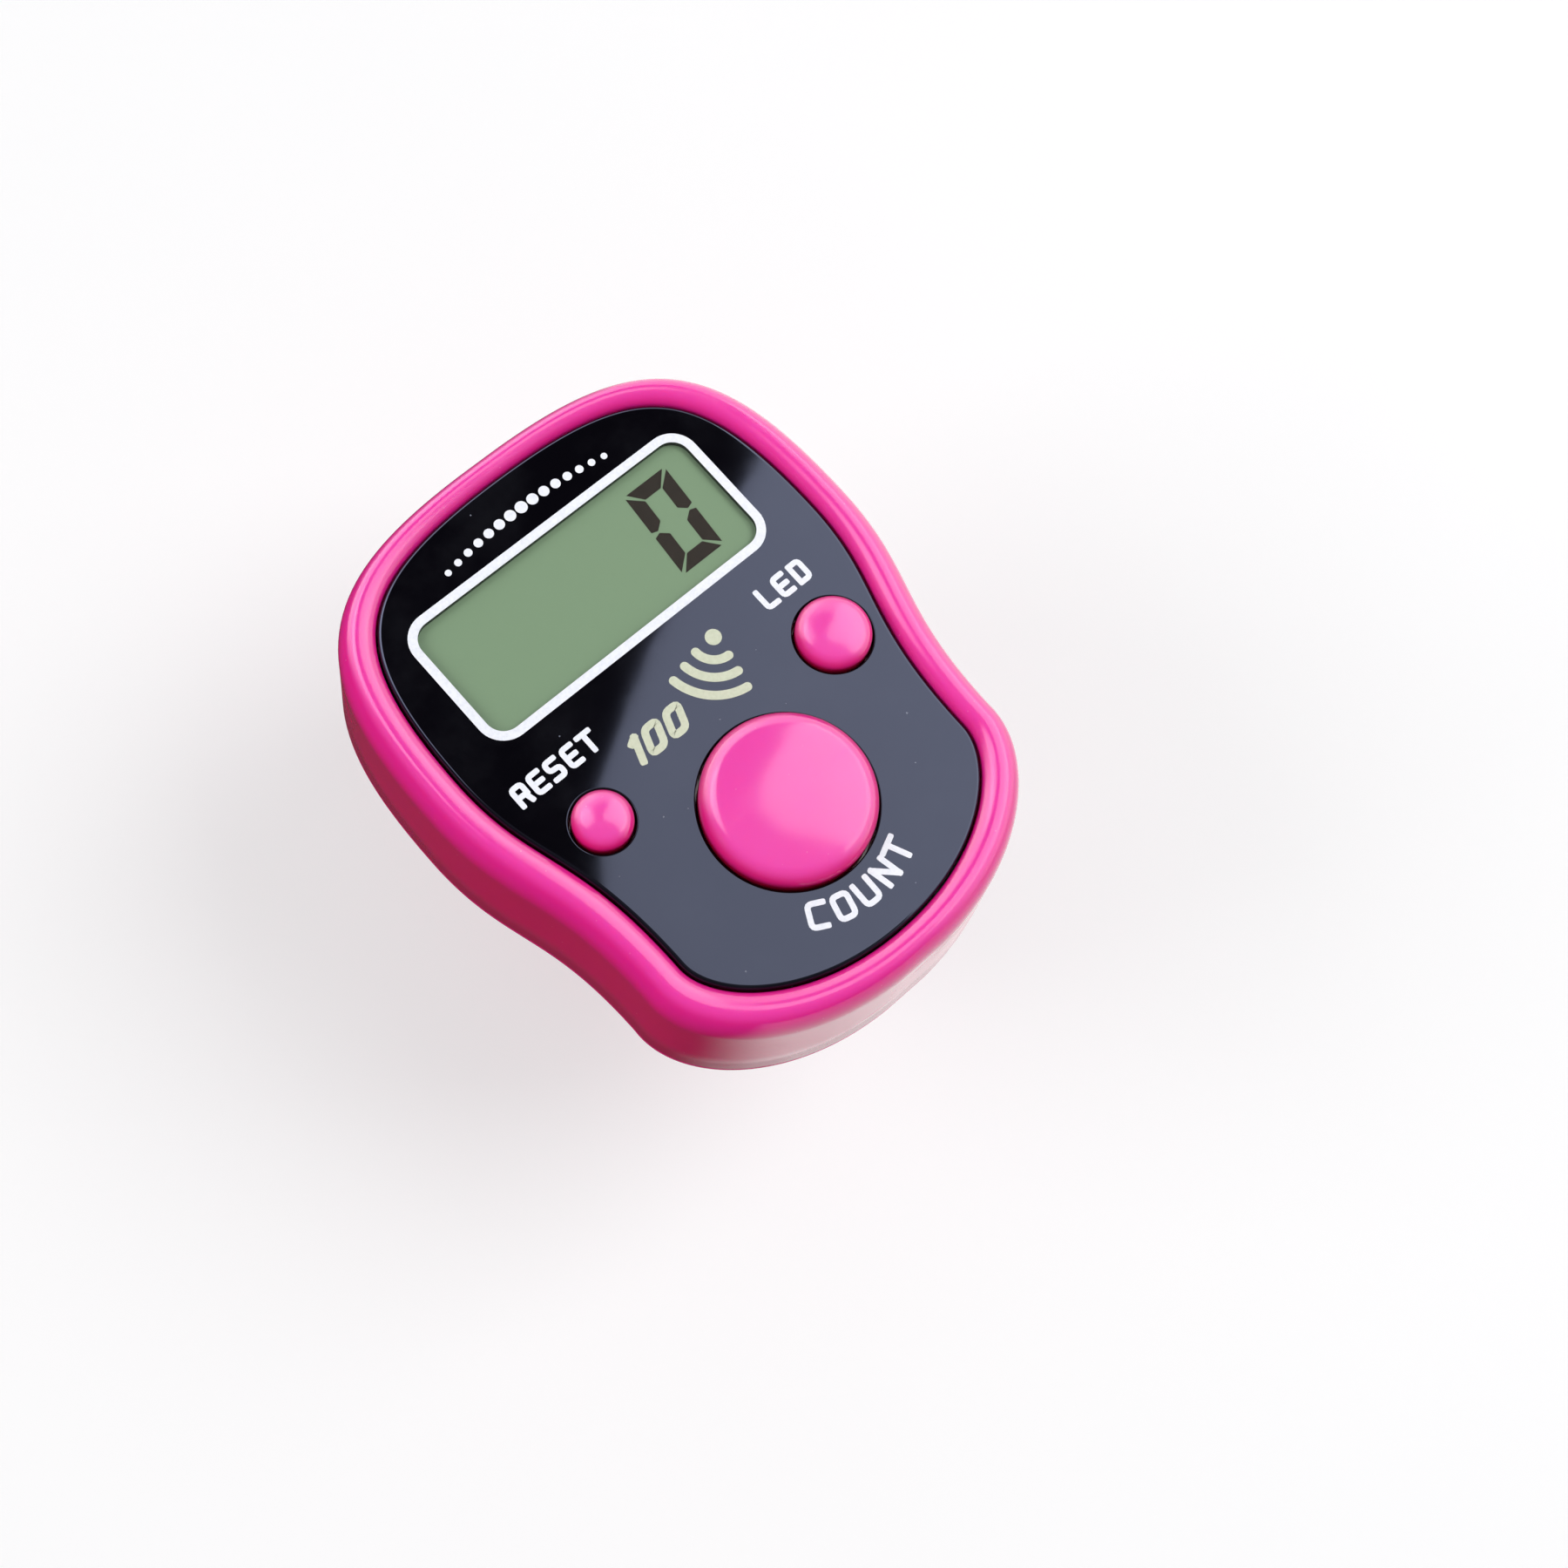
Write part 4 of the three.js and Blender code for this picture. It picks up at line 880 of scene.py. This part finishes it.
stud_profile = [
    (stud_radius + stud_flare, stud_foot), (stud_radius, stud_flare), (stud_radius, stud_neck),
    *bend(stud_head_radius - stud_lip, stud_neck + stud_lip, stud_lip, stud_lip, 90, 0, 4),
    *bend(0, crown_depth, stud_head_radius, -crown_height_share, crown_start, 90, 9),
]
stud_start = outer_top - strap_play - stud_sink
studs = Skin()
for y in (-stud_pitch / 2, stud_pitch / 2):
    rows = revolved([(r, stud_start + d * stud_squat) for r, d in stud_profile], 0, y, 40)
    studs.grid(rows).fill(rows[0])
studs = studs.piece("strap_studs", crease=50)

# %% [markdown]
# ## Writing materials as sums
#
# A material is a network of nodes. We could place each Math node by hand, but a sum such as
# `1 - mask * 0.3` reads better. `Wire` wraps one socket and turns operators into Math nodes,
# `Network` makes every other node through a single method, and `Finish` is the network of one
# material.

# %% Wire, Network and Finish


class Wire:
    """One socket's value in a sum. Plain numbers may stand on either side of an operator."""

    def __init__(self, network, socket):
        self.network, self.socket = network, socket

    def maths(self, operation, first, second):
        return self.network.node("ShaderNodeMath", {"operation": operation}, {0: first, 1: second})

    def __add__(self, other):
        return self.maths("ADD", self, other)

    def __sub__(self, other):
        return self.maths("SUBTRACT", self, other)

    def __rsub__(self, other):
        return self.maths("SUBTRACT", other, self)

    def __mul__(self, other):
        return self.maths("MULTIPLY", self, other)

    __radd__, __rmul__ = __add__, __mul__

    def between(self, low, high):
        """Share of the way from low to high, clamped to 0 and 1 with a smooth start and stop."""
        return self.network.node("ShaderNodeMapRange", {"interpolation_type": "SMOOTHSTEP"},
                                 {"Value": self, "From Min": low, "From Max": high})


def shade(red, green, blue):
    """Screen values from 0 to 255 as linear ones: ((c + 0.055) / 1.055) to the power 2.4, or
    c / 12.92 for the darkest, with c the value over 255."""
    shares = [value / 255 for value in (red, green, blue)]
    return (*[c / 12.92 if c < 11 / 255 else ((c + 0.055) / 1.055) ** 2.4 for c in shares], 1.0)


class Network:
    """The nodes of one material or world."""

    def __init__(self, tree):
        self.tree = tree

    def node(self, kind, settings=None, inputs=None, output=0):
        """Makes a node: its settings first, then a value or a link for each named socket."""
        made = self.tree.nodes.new(kind)
        for name, value in (settings or {}).items():
            setattr(made, name, value)
        for name, value in (inputs or {}).items():
            if isinstance(value, Wire):
                self.tree.links.new(value.socket, made.inputs[name])
            else:
                made.inputs[name].default_value = value
        return Wire(self, made.outputs[output])

    def ray_is(self, kind):
        """One for rays of this kind, zero for the others."""
        return self.node("ShaderNodeLightPath", output=f"Is {kind} Ray")


class Finish(Network):
    """A material being written: one surface shader and the nodes that feed it."""

    def __init__(self, name, **constants):
        self.material = bpy.data.materials.new(name)
        self.material.use_nodes = True
        super().__init__(self.material.node_tree)
        self.surface = self.tree.nodes["Principled BSDF"]
        for socket, value in constants.items():
            self.surface.inputs[socket.replace("_", " ")].default_value = value
        self.place = self.node("ShaderNodeTexCoord", output="Object")
        print("finish", name)

    def noise(self, per_mm, detail=3.0, rough=0.5, where=None):
        """Cloudy value from 0 to 1, with this many lumps to a millimetre."""
        return self.node("ShaderNodeTexNoise", {}, {
            "Vector": where or self.place, "Scale": per_mm / MM, "Detail": detail, "Roughness": rough})

    def specks(self, per_mm, size):
        """One inside small round dots scattered at random, zero outside: a smooth step down from
        0.6 of the size to the size, over the distance to the nearest of the random points."""
        where = {"Vector": self.place, "Scale": per_mm / MM}
        return 1 - self.node("ShaderNodeTexVoronoi", {}, where, "Distance").between(size * 0.6, size)

    def mix(self, share, first, second):
        """Colour between two, by a share. Each is a wire, or its red, green and blue on screen."""
        first, second = (c if isinstance(c, Wire) else shade(*c) for c in (first, second))
        return self.node("ShaderNodeMix", {"data_type": "RGBA"}, {0: share, 6: first, 7: second}, 2)

    def stretched(self, x, y, z):
        """The place scaled along each axis, for streaks and stripes."""
        return self.node("ShaderNodeMapping", {}, {"Vector": self.place, "Scale": (x, y, z)})

    def height(self):
        """The place's height above the table, in millimetres."""
        return self.node("ShaderNodeSeparateXYZ", {}, {0: self.place}, "Z") * (1 / MM)

    def along(self, direction, reach=1.0):
        """How far the place lies along a direction: their dot product over a reach, in mm."""
        scaled = tuple(float(part / (reach * MM)) for part in direction)
        return self.node("ShaderNodeVectorMath", {"operation": "DOT_PRODUCT"},
                         {0: self.place, 1: scaled}, "Value")

    def feed(self, socket, wire):
        self.tree.links.new(wire.socket, self.surface.inputs[socket])
        return self

    def paint(self, colour, rough):
        return self.feed("Base Color", colour).feed("Roughness", rough)

    def bump(self, height, strength, depth_mm):
        """Feeds the normal from a height, with the depth that a height of one stands for."""
        return self.feed("Normal", self.node("ShaderNodeBump", {}, {
            "Height": height, "Strength": strength, "Distance": depth_mm * MM}))

    def glow(self, colour, strength):
        """A shader that gives light of its own."""
        return self.node("ShaderNodeEmission", {}, {"Color": colour, "Strength": strength})

    def show(self, shader):
        """Makes this shader the material's surface."""
        self.tree.links.new(shader.socket, self.tree.nodes["Material Output"].inputs["Surface"])


# %% [markdown]
# ## Pink moulded plastic
#
# The casing is injection moulded in a strong pink with a high gloss. Real mouldings are never
# perfectly even: the skin is a little wavy, the gloss has faint clouds, and handling leaves fine
# hairlines. Each of these is one noise at its own scale. The colour is also painted with shade: it
# is paler near the face and deeper down the wall, the button skirts and the back, where shade falls.
# Two smooth steps on the height above the table paint it.

# %% Pink plastic


def pink_gloss(name, colour, middle, deepest_shade, gloss, shade_heights):
    """Pink with painted shade that deepens downwards: to the middle tone from the first height over
    the face to the second, and to the deepest shade from the second to the third. Slow clouds of the
    middle tone, thin hairlines in the gloss and a faint ripple go over it."""
    finish = Finish(name, IOR=1.5, Subsurface_Weight=0.18, Subsurface_Scale=0.002)
    clouds = finish.noise(0.12, 2.0)
    crest, shoulder, foot = (face_z + height for height in shade_heights)
    # Painted shade: towards the middle tone below the top, and to the deepest shade lower down.
    edge = 1 - finish.height().between(shoulder, crest)
    wall_shade = 1 - finish.height().between(foot, shoulder)
    hairs = finish.noise(1.2, 4.0, 0.6, finish.stretched(0.08, 1.0, 1.0)).between(0.62, 0.7)
    smudges = finish.noise(0.35, 4.0).between(0.45, 0.75)
    dust = finish.specks(0.9, 0.06)
    base = finish.mix(clouds.between(0.35, 0.7) * 0.1 + edge * 0.9, colour, middle)
    base = finish.mix(dust * 0.12, finish.mix(wall_shade, base, deepest_shade), (255, 200, 226))
    finish.paint(base, gloss + smudges * 0.06 + hairs * 0.08)
    return finish.bump(finish.noise(0.5, 1.0) + hairs * 0.06, 0.5, 0.012).material


# Painted shade: each pink goes from its own tone on top to its deepest shade lower down.
cap_tone_and_shade = (249, 78, 180), (236, 26, 130)
casing_pink = pink_gloss("casing_pink", (247, 64, 173), (240, 32, 146), (216, 6, 94), 0.14,
                         (0.5, 0.0, -2.4))
count_pink = pink_gloss("count_pink", *cap_tone_and_shade, (158, 3, 50), 0.12, (1.55, 0.9, 0.1))
side_pink = pink_gloss("side_pink", *cap_tone_and_shade, (166, 4, 56), 0.16, (1.1, 0.6, 0.0))
cover_pink = pink_gloss("cover_pink", (236, 28, 136), (230, 20, 126), (222, 12, 112), 0.18,
                        (-8.0, -10.0, -16.0))

# %% [markdown]
# ## Black acrylic
#
# The face is polished and almost black, so what we see on it is what it reflects, plus a few
# specks of dust and a faint haze left by fingers. Its reflections are bluish, which the tint of its
# specular layer gives.

# %% Black acrylic
acrylic = Finish("black_acrylic", IOR=1.5, Specular_Tint=(0.62, 0.69, 1.0, 1.0))
haze = acrylic.noise(0.18, 4.0, 0.6).between(0.4, 0.8)
dust = acrylic.specks(0.55, 0.045)
acrylic.paint(acrylic.mix(dust * 0.35 + haze * 0.012, (8, 7, 12), (170, 175, 190)),
              0.04 + haze * 0.02 + dust * 0.3)
acrylic.bump(acrylic.noise(0.25, 1.0), 0.3, 0.004)

# %% [markdown]
# ## Display
#
# A display like this is matt grey-green, with a fine grain from the polariser. The segments are
# nearly black with a warm cast, and the pane above them is clear and only faintly glossy.

# %% Display finishes
green_film = Finish("display_green", IOR=1.3, Specular_IOR_Level=0.2)
grain = green_film.noise(14.0, 2.0)
clouds = green_film.noise(0.08, 2.0)
green_film.paint(green_film.mix(grain * 0.12 + clouds * 0.1, (124, 151, 119), (115, 140, 110)),
                 0.55 + grain * 0.1)
green_film.bump(grain, 0.1, 0.004)

segment_ink = Finish("display_segments", IOR=1.3, Specular_IOR_Level=0.1)
segment_ink.paint(segment_ink.mix(segment_ink.noise(6.0), (30, 22, 20), (38, 29, 25)),
                  0.45 + segment_ink.noise(9.0) * 0.1)

window_clear = Finish("window_clear", IOR=1.3, Specular_IOR_Level=0.1)
window_clear.paint(window_clear.mix(window_clear.noise(0.2), (208, 222, 205), (216, 228, 212)),
                   0.2 + window_clear.noise(0.3, 3.0) * 0.1)
window_clear.feed("Alpha", 0.012 + window_clear.specks(0.6, 0.03) * 0.2)

# %% Print inks


def ink(name, colour, second):
    """Screen-printed ink: even colour with a fine mottle and a slightly grainy, satin skin."""
    finish = Finish(name, IOR=1.4)
    mottle = finish.noise(5.0, 3.0)
    finish.paint(finish.mix(mottle.between(0.3, 0.8), colour, second), 0.38 + mottle * 0.15)
    return finish.bump(mottle, 0.15, 0.006).material


white_ink = ink("white_ink", (238, 241, 248), (226, 230, 240))
khaki_ink = ink("pale_green_ink", (203, 208, 184), (192, 198, 172))

# %% [markdown]
# ## Strap rubber
#
# Silicone straps are matt and pick up lint. The pink is the casing's, a little deeper, with a very
# fine grain, soft clouds where it has been handled and sparse pale fluff.

# %% Strap rubber
rubber = Finish("strap_rubber", IOR=1.42, Subsurface_Weight=0.1, Subsurface_Scale=0.002, Sheen_Weight=0.08)
grain = rubber.noise(9.0, 3.0, 0.6)
handled = rubber.noise(0.2, 3.0).between(0.4, 0.7)
lint = rubber.specks(0.7, 0.05)
rubber_pink = rubber.mix(handled, (228, 44, 142), (216, 36, 130))
rubber.paint(rubber.mix(lint * 0.2, rubber_pink, (250, 190, 220)), 0.52 + grain * 0.12 - handled * 0.08)
rubber.bump(grain, 0.3, 0.012)

# %% [markdown]
# ## Works inside
#
# The inner pieces keep their CAD shapes. They are hidden in the picture, but each has the finish
# of the real thing: a printed board with tracks, spring brass, turned steel cells, a striped
# rubber connector, black resin, ceramic and moulded white plastic.

# %% Metal finishes


def metal(name, colour, worn, rough, streak):
    """Plated metal: streaks along one axis in the gloss and a tarnish in clouds."""
    finish = Finish(name, Metallic=1.0)
    lines = finish.noise(3.0, 3.0, 0.6, finish.stretched(*streak))
    tarnish = finish.noise(0.5, 4.0).between(0.45, 0.75)
    finish.paint(finish.mix(tarnish * 0.6, colour, worn), rough + lines * 0.14 + tarnish * 0.1)
    return finish.bump(lines, 0.15, 0.006).material


bright_steel = metal("bright_steel", (206, 208, 212), (168, 168, 170), 0.2, (1.0, 0.06, 1.0))
spring_brass = metal("spring_brass", (216, 186, 120), (170, 138, 82), 0.24, (0.06, 1.0, 1.0))

# %% Board, rubber connector and mouldings
board = Finish("board_green", IOR=1.5)
tracks = board.node("ShaderNodeTexBrick", {"offset": 0.5, "squash": 0.6},
                    {"Vector": board.place, "Scale": 0.25 / MM, "Mortar Size": 0.035, "Mortar Smooth": 0.3,
                     "Brick Width": 1.0, "Row Height": 0.4}, "Fac")
weave = board.noise(4.0, 2.0)
laminate = board.mix(weave, (24, 92, 52), (30, 104, 60))
board.paint(board.mix(tracks * 0.6, laminate, (70, 150, 90)), 0.35 + weave * 0.15)
board.bump(tracks + weave * 0.15, 0.4, 0.03)

connector = Finish("striped_rubber", IOR=1.45)
stripes = connector.node("ShaderNodeTexWave", {"wave_type": "BANDS", "bands_direction": "X"},
                         {"Vector": connector.place, "Scale": 1.0 / MM, "Distortion": 0.2})
connector.paint(connector.mix(stripes.between(0.4, 0.6), (58, 58, 62), (168, 168, 172)),
                0.7 + connector.noise(4.0) * 0.1)


def moulded(name, colour, second, rough, per_mm=1.5):
    """Plain moulded or cast stuff: two close tones in clouds and a grain in gloss and height."""
    finish = Finish(name, IOR=1.48)
    clouds, grain = finish.noise(per_mm * 0.3, 3.0), finish.noise(per_mm * 4, 3.0)
    finish.paint(finish.mix(clouds.between(0.35, 0.65), colour, second), rough + grain * 0.12)
    return finish.bump(grain, 0.25, 0.015).material


white_moulding = moulded("white_moulding", (232, 232, 227), (222, 222, 215), 0.42)
black_resin = moulded("black_resin", (22, 22, 23), (34, 33, 33), 0.3, 1.0)
pale_ceramic = moulded("pale_ceramic", (232, 224, 208), (218, 208, 190), 0.55, 3.0)
red_sleeve = moulded("red_sleeve", (178, 30, 30), (160, 24, 26), 0.4, 2.0)
grey_film = moulded("reflector_film", (150, 166, 146), (142, 158, 138), 0.45, 4.0)

pale_glass = Finish("display_glass", IOR=1.5)
pale_glass.paint(pale_glass.mix(pale_glass.noise(0.2), (214, 226, 214), (222, 232, 220)),
                 0.05 + pale_glass.noise(0.4, 3.0).between(0.5, 0.8) * 0.1)
pale_glass.feed("Alpha", 0.35 + pale_glass.noise(0.3) * 0.05)

# %% [markdown]
# ## Putting the pieces on their bodies
#
# Each new piece rides on the CAD body that it belongs to, takes its finish and stands for the node
# that it replaces, which is hidden. Buttons ride on their own bodies, so a press in the simulation
# moves the smooth cap too.

# %% Bodies, nodes and finishes
pieces = [
    (casing, "casing", "pink_plastic", casing_pink, ("upper_casing",)),
    (panel, "casing", "black_acrylic", acrylic.material, ("face_panel",)),
    (lens, "casing", "window_clear", window_clear.material, ("window_lens",)),
    (polariser, "casing", "lcd_glass", green_film.material, ("lcd_front_glass",)),
    (digit, "casing", "lcd_glass", segment_ink.material, ()),
    (white_print, "casing", "white_plastic", white_ink, ()),
    (khaki_print, "casing", "white_plastic", khaki_ink, ()),
    (cover, "casing", "pink_plastic", cover_pink, ("back_cover",)),
    (bridges, "casing", "pink_plastic", cover_pink, ()),
    (door, "casing", "pink_plastic", cover_pink, ("battery_door",)),
    (strap, "casing", "strap_rubber", rubber.material, ("strap",)),
    (studs, "casing", "strap_rubber", rubber.material, ()),
]
for name, piece in button_pieces.items():
    button_pink = count_pink if name == "count" else side_pink
    pieces.append((piece, f"{name}_button", "pink_plastic", button_pink, (f"{name}_button",)))
for name, piece in dome_pieces.items():
    pieces.append((piece, "casing", "steel", bright_steel, (f"{name}_dome",)))
for piece, node in screw_pieces:
    pieces.append((piece, "casing", "steel", bright_steel, (node,)))
for piece, body, slot, material, nodes in pieces:
    piece.data.materials.clear()
    piece.data.materials.append(material)
    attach(piece, body)
    if nodes:
        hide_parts(*nodes)
for name, piece in dome_pieces.items():
    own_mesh(piece)

finish_of_slot = {
    "lcd_glass": pale_glass.material, "lcd_film": grey_film, "white_plastic": white_moulding,
    "contact_rubber": connector.material, "board_green": board.material, "black_resin": black_resin,
    "ceramic": pale_ceramic, "red_sleeve": red_sleeve, "steel": bright_steel, "brass": spring_brass,
}
replaced = {node for *_, nodes in pieces for node in nodes}
for part in frame["record"]["subparts"]:
    if part["node"] in replaced:
        continue
    node = frame["nodes"][part["node"]]
    for slot in node.material_slots:
        slot.material = finish_of_slot[part["material_slot"]]
print(len(pieces), "new pieces,", len(frame["nodes"]) - len(replaced), "CAD nodes with a new finish")

# %% [markdown]
# ## Table and light
#
# The counter stands on a plain pale table. Two soft lamps light it: the key from the upper right and
# a weaker fill from the upper left, over an even room. Their strength is set so that a colour on the
# face renders about as it is written, and the table adds its own glow only for what looks at it.

# %% Table
white, table_glow, mirror_dim, mirror_half, mirror_far = (1.0, 1.0, 1.0, 1.0), 0.44, 0.05, 1.1, 1.3


def sheet(name, corners, height):
    """A flat piece with one face, its corners at (x, y) and one height, in millimetres."""
    spots = np.column_stack([np.array(corners, float), np.full(len(corners), height)]) * MM
    mesh = bpy.data.meshes.new(name)
    mesh.from_pydata(spots.tolist(), [], [list(range(len(spots)))])
    made = bpy.data.objects.new(name, mesh)
    bpy.context.collection.objects.link(made)
    return made


floor = sheet("table", [(-1500, -1500), (1500, -1500), (1500, 1500), (-1500, 1500)], 0.0)
cloth = Finish("table_white", Roughness=0.8, Specular_IOR_Level=0.1)
cloth.feed("Base Color", cloth.mix(cloth.noise(0.05, 3.0) * 0.3, (196, 196, 197), (190, 190, 192)))
looked_at = cloth.ray_is("Camera") + cloth.ray_is("Transmission")
lit = cloth.node("ShaderNodeAddShader", {}, {
    0: Wire(cloth, cloth.surface.outputs[0]), 1: cloth.glow(white, looked_at * table_glow)})
bright_half = cloth.along((0.87, -0.5, 0.0)).between(-8.0, 8.0)
far_off = cloth.along((0.87, 0.5, 0.0)).between(15.0, 150.0)
mirrored = cloth.glow(white, mirror_dim + bright_half * mirror_half + far_off * mirror_far)
cloth.show(cloth.node("ShaderNodeMixShader", {}, {0: cloth.ray_is("Glossy"), 1: lit, 2: mirrored}))
floor.data.materials.append(cloth.material)

# %% Lamps


def soft_lamp(name, side, place, facing_light):
    """A square lamp aimed at the counter. A white card there that faces it gets this level of
    light, which takes level times (pi times the distance) squared watts."""
    place, aim = np.array(place) * MM, np.array((0, 0, face_z * MM))
    data = bpy.data.lights.new(name, "AREA")
    data.shape, data.size = "SQUARE", side * MM
    data.energy = facing_light * (math.pi * float(np.linalg.norm(place - aim))) ** 2
    made = bpy.data.objects.new(name, data)
    made.location = Vector(place)
    made.rotation_euler = Vector(aim - place).to_track_quat("-Z", "Y").to_euler()
    made.visible_glossy = False
    bpy.context.collection.objects.link(made)
    print(name, round(data.energy, 3), "W")


soft_lamp("key_lamp", 300.0, (260.0, -130.0, face_z + 390.0), 0.6)
soft_lamp("fill_lamp", 350.0, (-430.0, 260.0, face_z + 310.0), 0.44)

# %% [markdown]
# ## What the gloss reflects
#
# On glossy things the shape of the lamps matters as much as their light, so reflections get their own
# set, which only glossy rays see. A flat card hangs above the counter: the black face mirrors its
# lower corner as the border between black and grey, and the count button as a pale patch. Round it
# hangs a tent: bright low down on the right and behind the counter, dim on the camera's side, with a
# window and a skylight behind for the crest of the rim, and black just beyond the card, where the
# upper part of the face looks.

# %% Card above the counter
card_height = 400.0
card_corners = np.array([(60, 50), (66, 5), (125, -70), (150, -330), (620, -330), (620, 330), (420, 260),
                         (172, 118), (115, 96), (80, 76)], float)
card = sheet("card", card_corners + (0, display_y), face_z + card_height)

# %% Tent round the counter
tent_radius = 900.0
rise = np.radians(np.linspace(1.0, 90.0, 24))[:, None]
turn = np.arange(64) * 2 * np.pi / 64
globe = np.stack([np.cos(rise) * np.cos(turn), np.cos(rise) * np.sin(turn), np.sin(rise) + 0 * turn], -1)
tent = Skin().grid(tent_radius * globe).piece("tent")

# %% Glow of the card and the tent
card_glow, card_gain = 3.4, 2.2
tent_glow, side_glow, low_glow, window_glow, sky_glow, card_shade = 0.16, 0.34, 2.5, 2.4, 4.5, 0.98


def towards(finish, *direction):
    """How far a place on the tent lies in a direction: the dot product over the tent's radius."""
    return finish.along(direction, float(np.linalg.norm(direction)) * tent_radius)


def emit(finish, piece, colour, strength):
    """Gives a piece a glowing finish, seen by glossy rays alone."""
    finish.show(finish.glow(colour, strength))
    piece.data.materials.append(finish.material)
    for kind in ("camera", "diffuse", "shadow", "transmission", "volume_scatter"):
        setattr(piece, f"visible_{kind}", False)


card_finish = Finish("card_cloth")
emit(card_finish, card, white, card_glow + towards(card_finish, 1, 0, 0).between(0.0, 0.5) * card_gain)
tent_finish = Finish("tent_cloth")
lamps_side = towards(tent_finish, 0.87, 0.50, 0).between(-0.35, 0.25)
low_down = 1 - towards(tent_finish, 0, 0, 1).between(0.7, 0.88)
window = towards(tent_finish, -0.08, 0.86, 0.5).between(0.72, 0.95)
skylight = towards(tent_finish, -0.17, 0.47, 0.87).between(0.952, 0.98)
beyond_card = towards(tent_finish, 0.261, 0.290, 0.920).between(0.955, 0.986)
tent_light = tent_glow + lamps_side * (side_glow + low_down * low_glow) + window * window_glow
tent_light = (tent_light + skylight * sky_glow) * (1 - beyond_card * card_shade)
emit(tent_finish, tent, (1.0, 0.95, 1.0, 1), tent_light)

# %% [markdown]
# The room itself gives an even, dim light from all sides. What looks straight at it, or meets it
# in a reflection or through the window, sees plain white.

# %% Room
room_light, room_seen = 0.36, 1.0
world = bpy.data.worlds.new("room")
world.use_nodes = True
bpy.context.scene.world = world
room = Network(world.node_tree)
glossy = room.ray_is("Glossy")
room_looked_at = room.ray_is("Camera") + glossy.maths("MAXIMUM", glossy, room.ray_is("Transmission"))
room_strength = room.node("ShaderNodeMapRange", {}, {
    "Value": room_looked_at, "To Min": room_light, "To Max": room_seen})
background = room.tree.nodes["Background"]
background.inputs["Color"].default_value = white
room.tree.links.new(room_strength.socket, background.inputs["Strength"])
print("room light", room_light, "and", room_seen, "where it is seen")
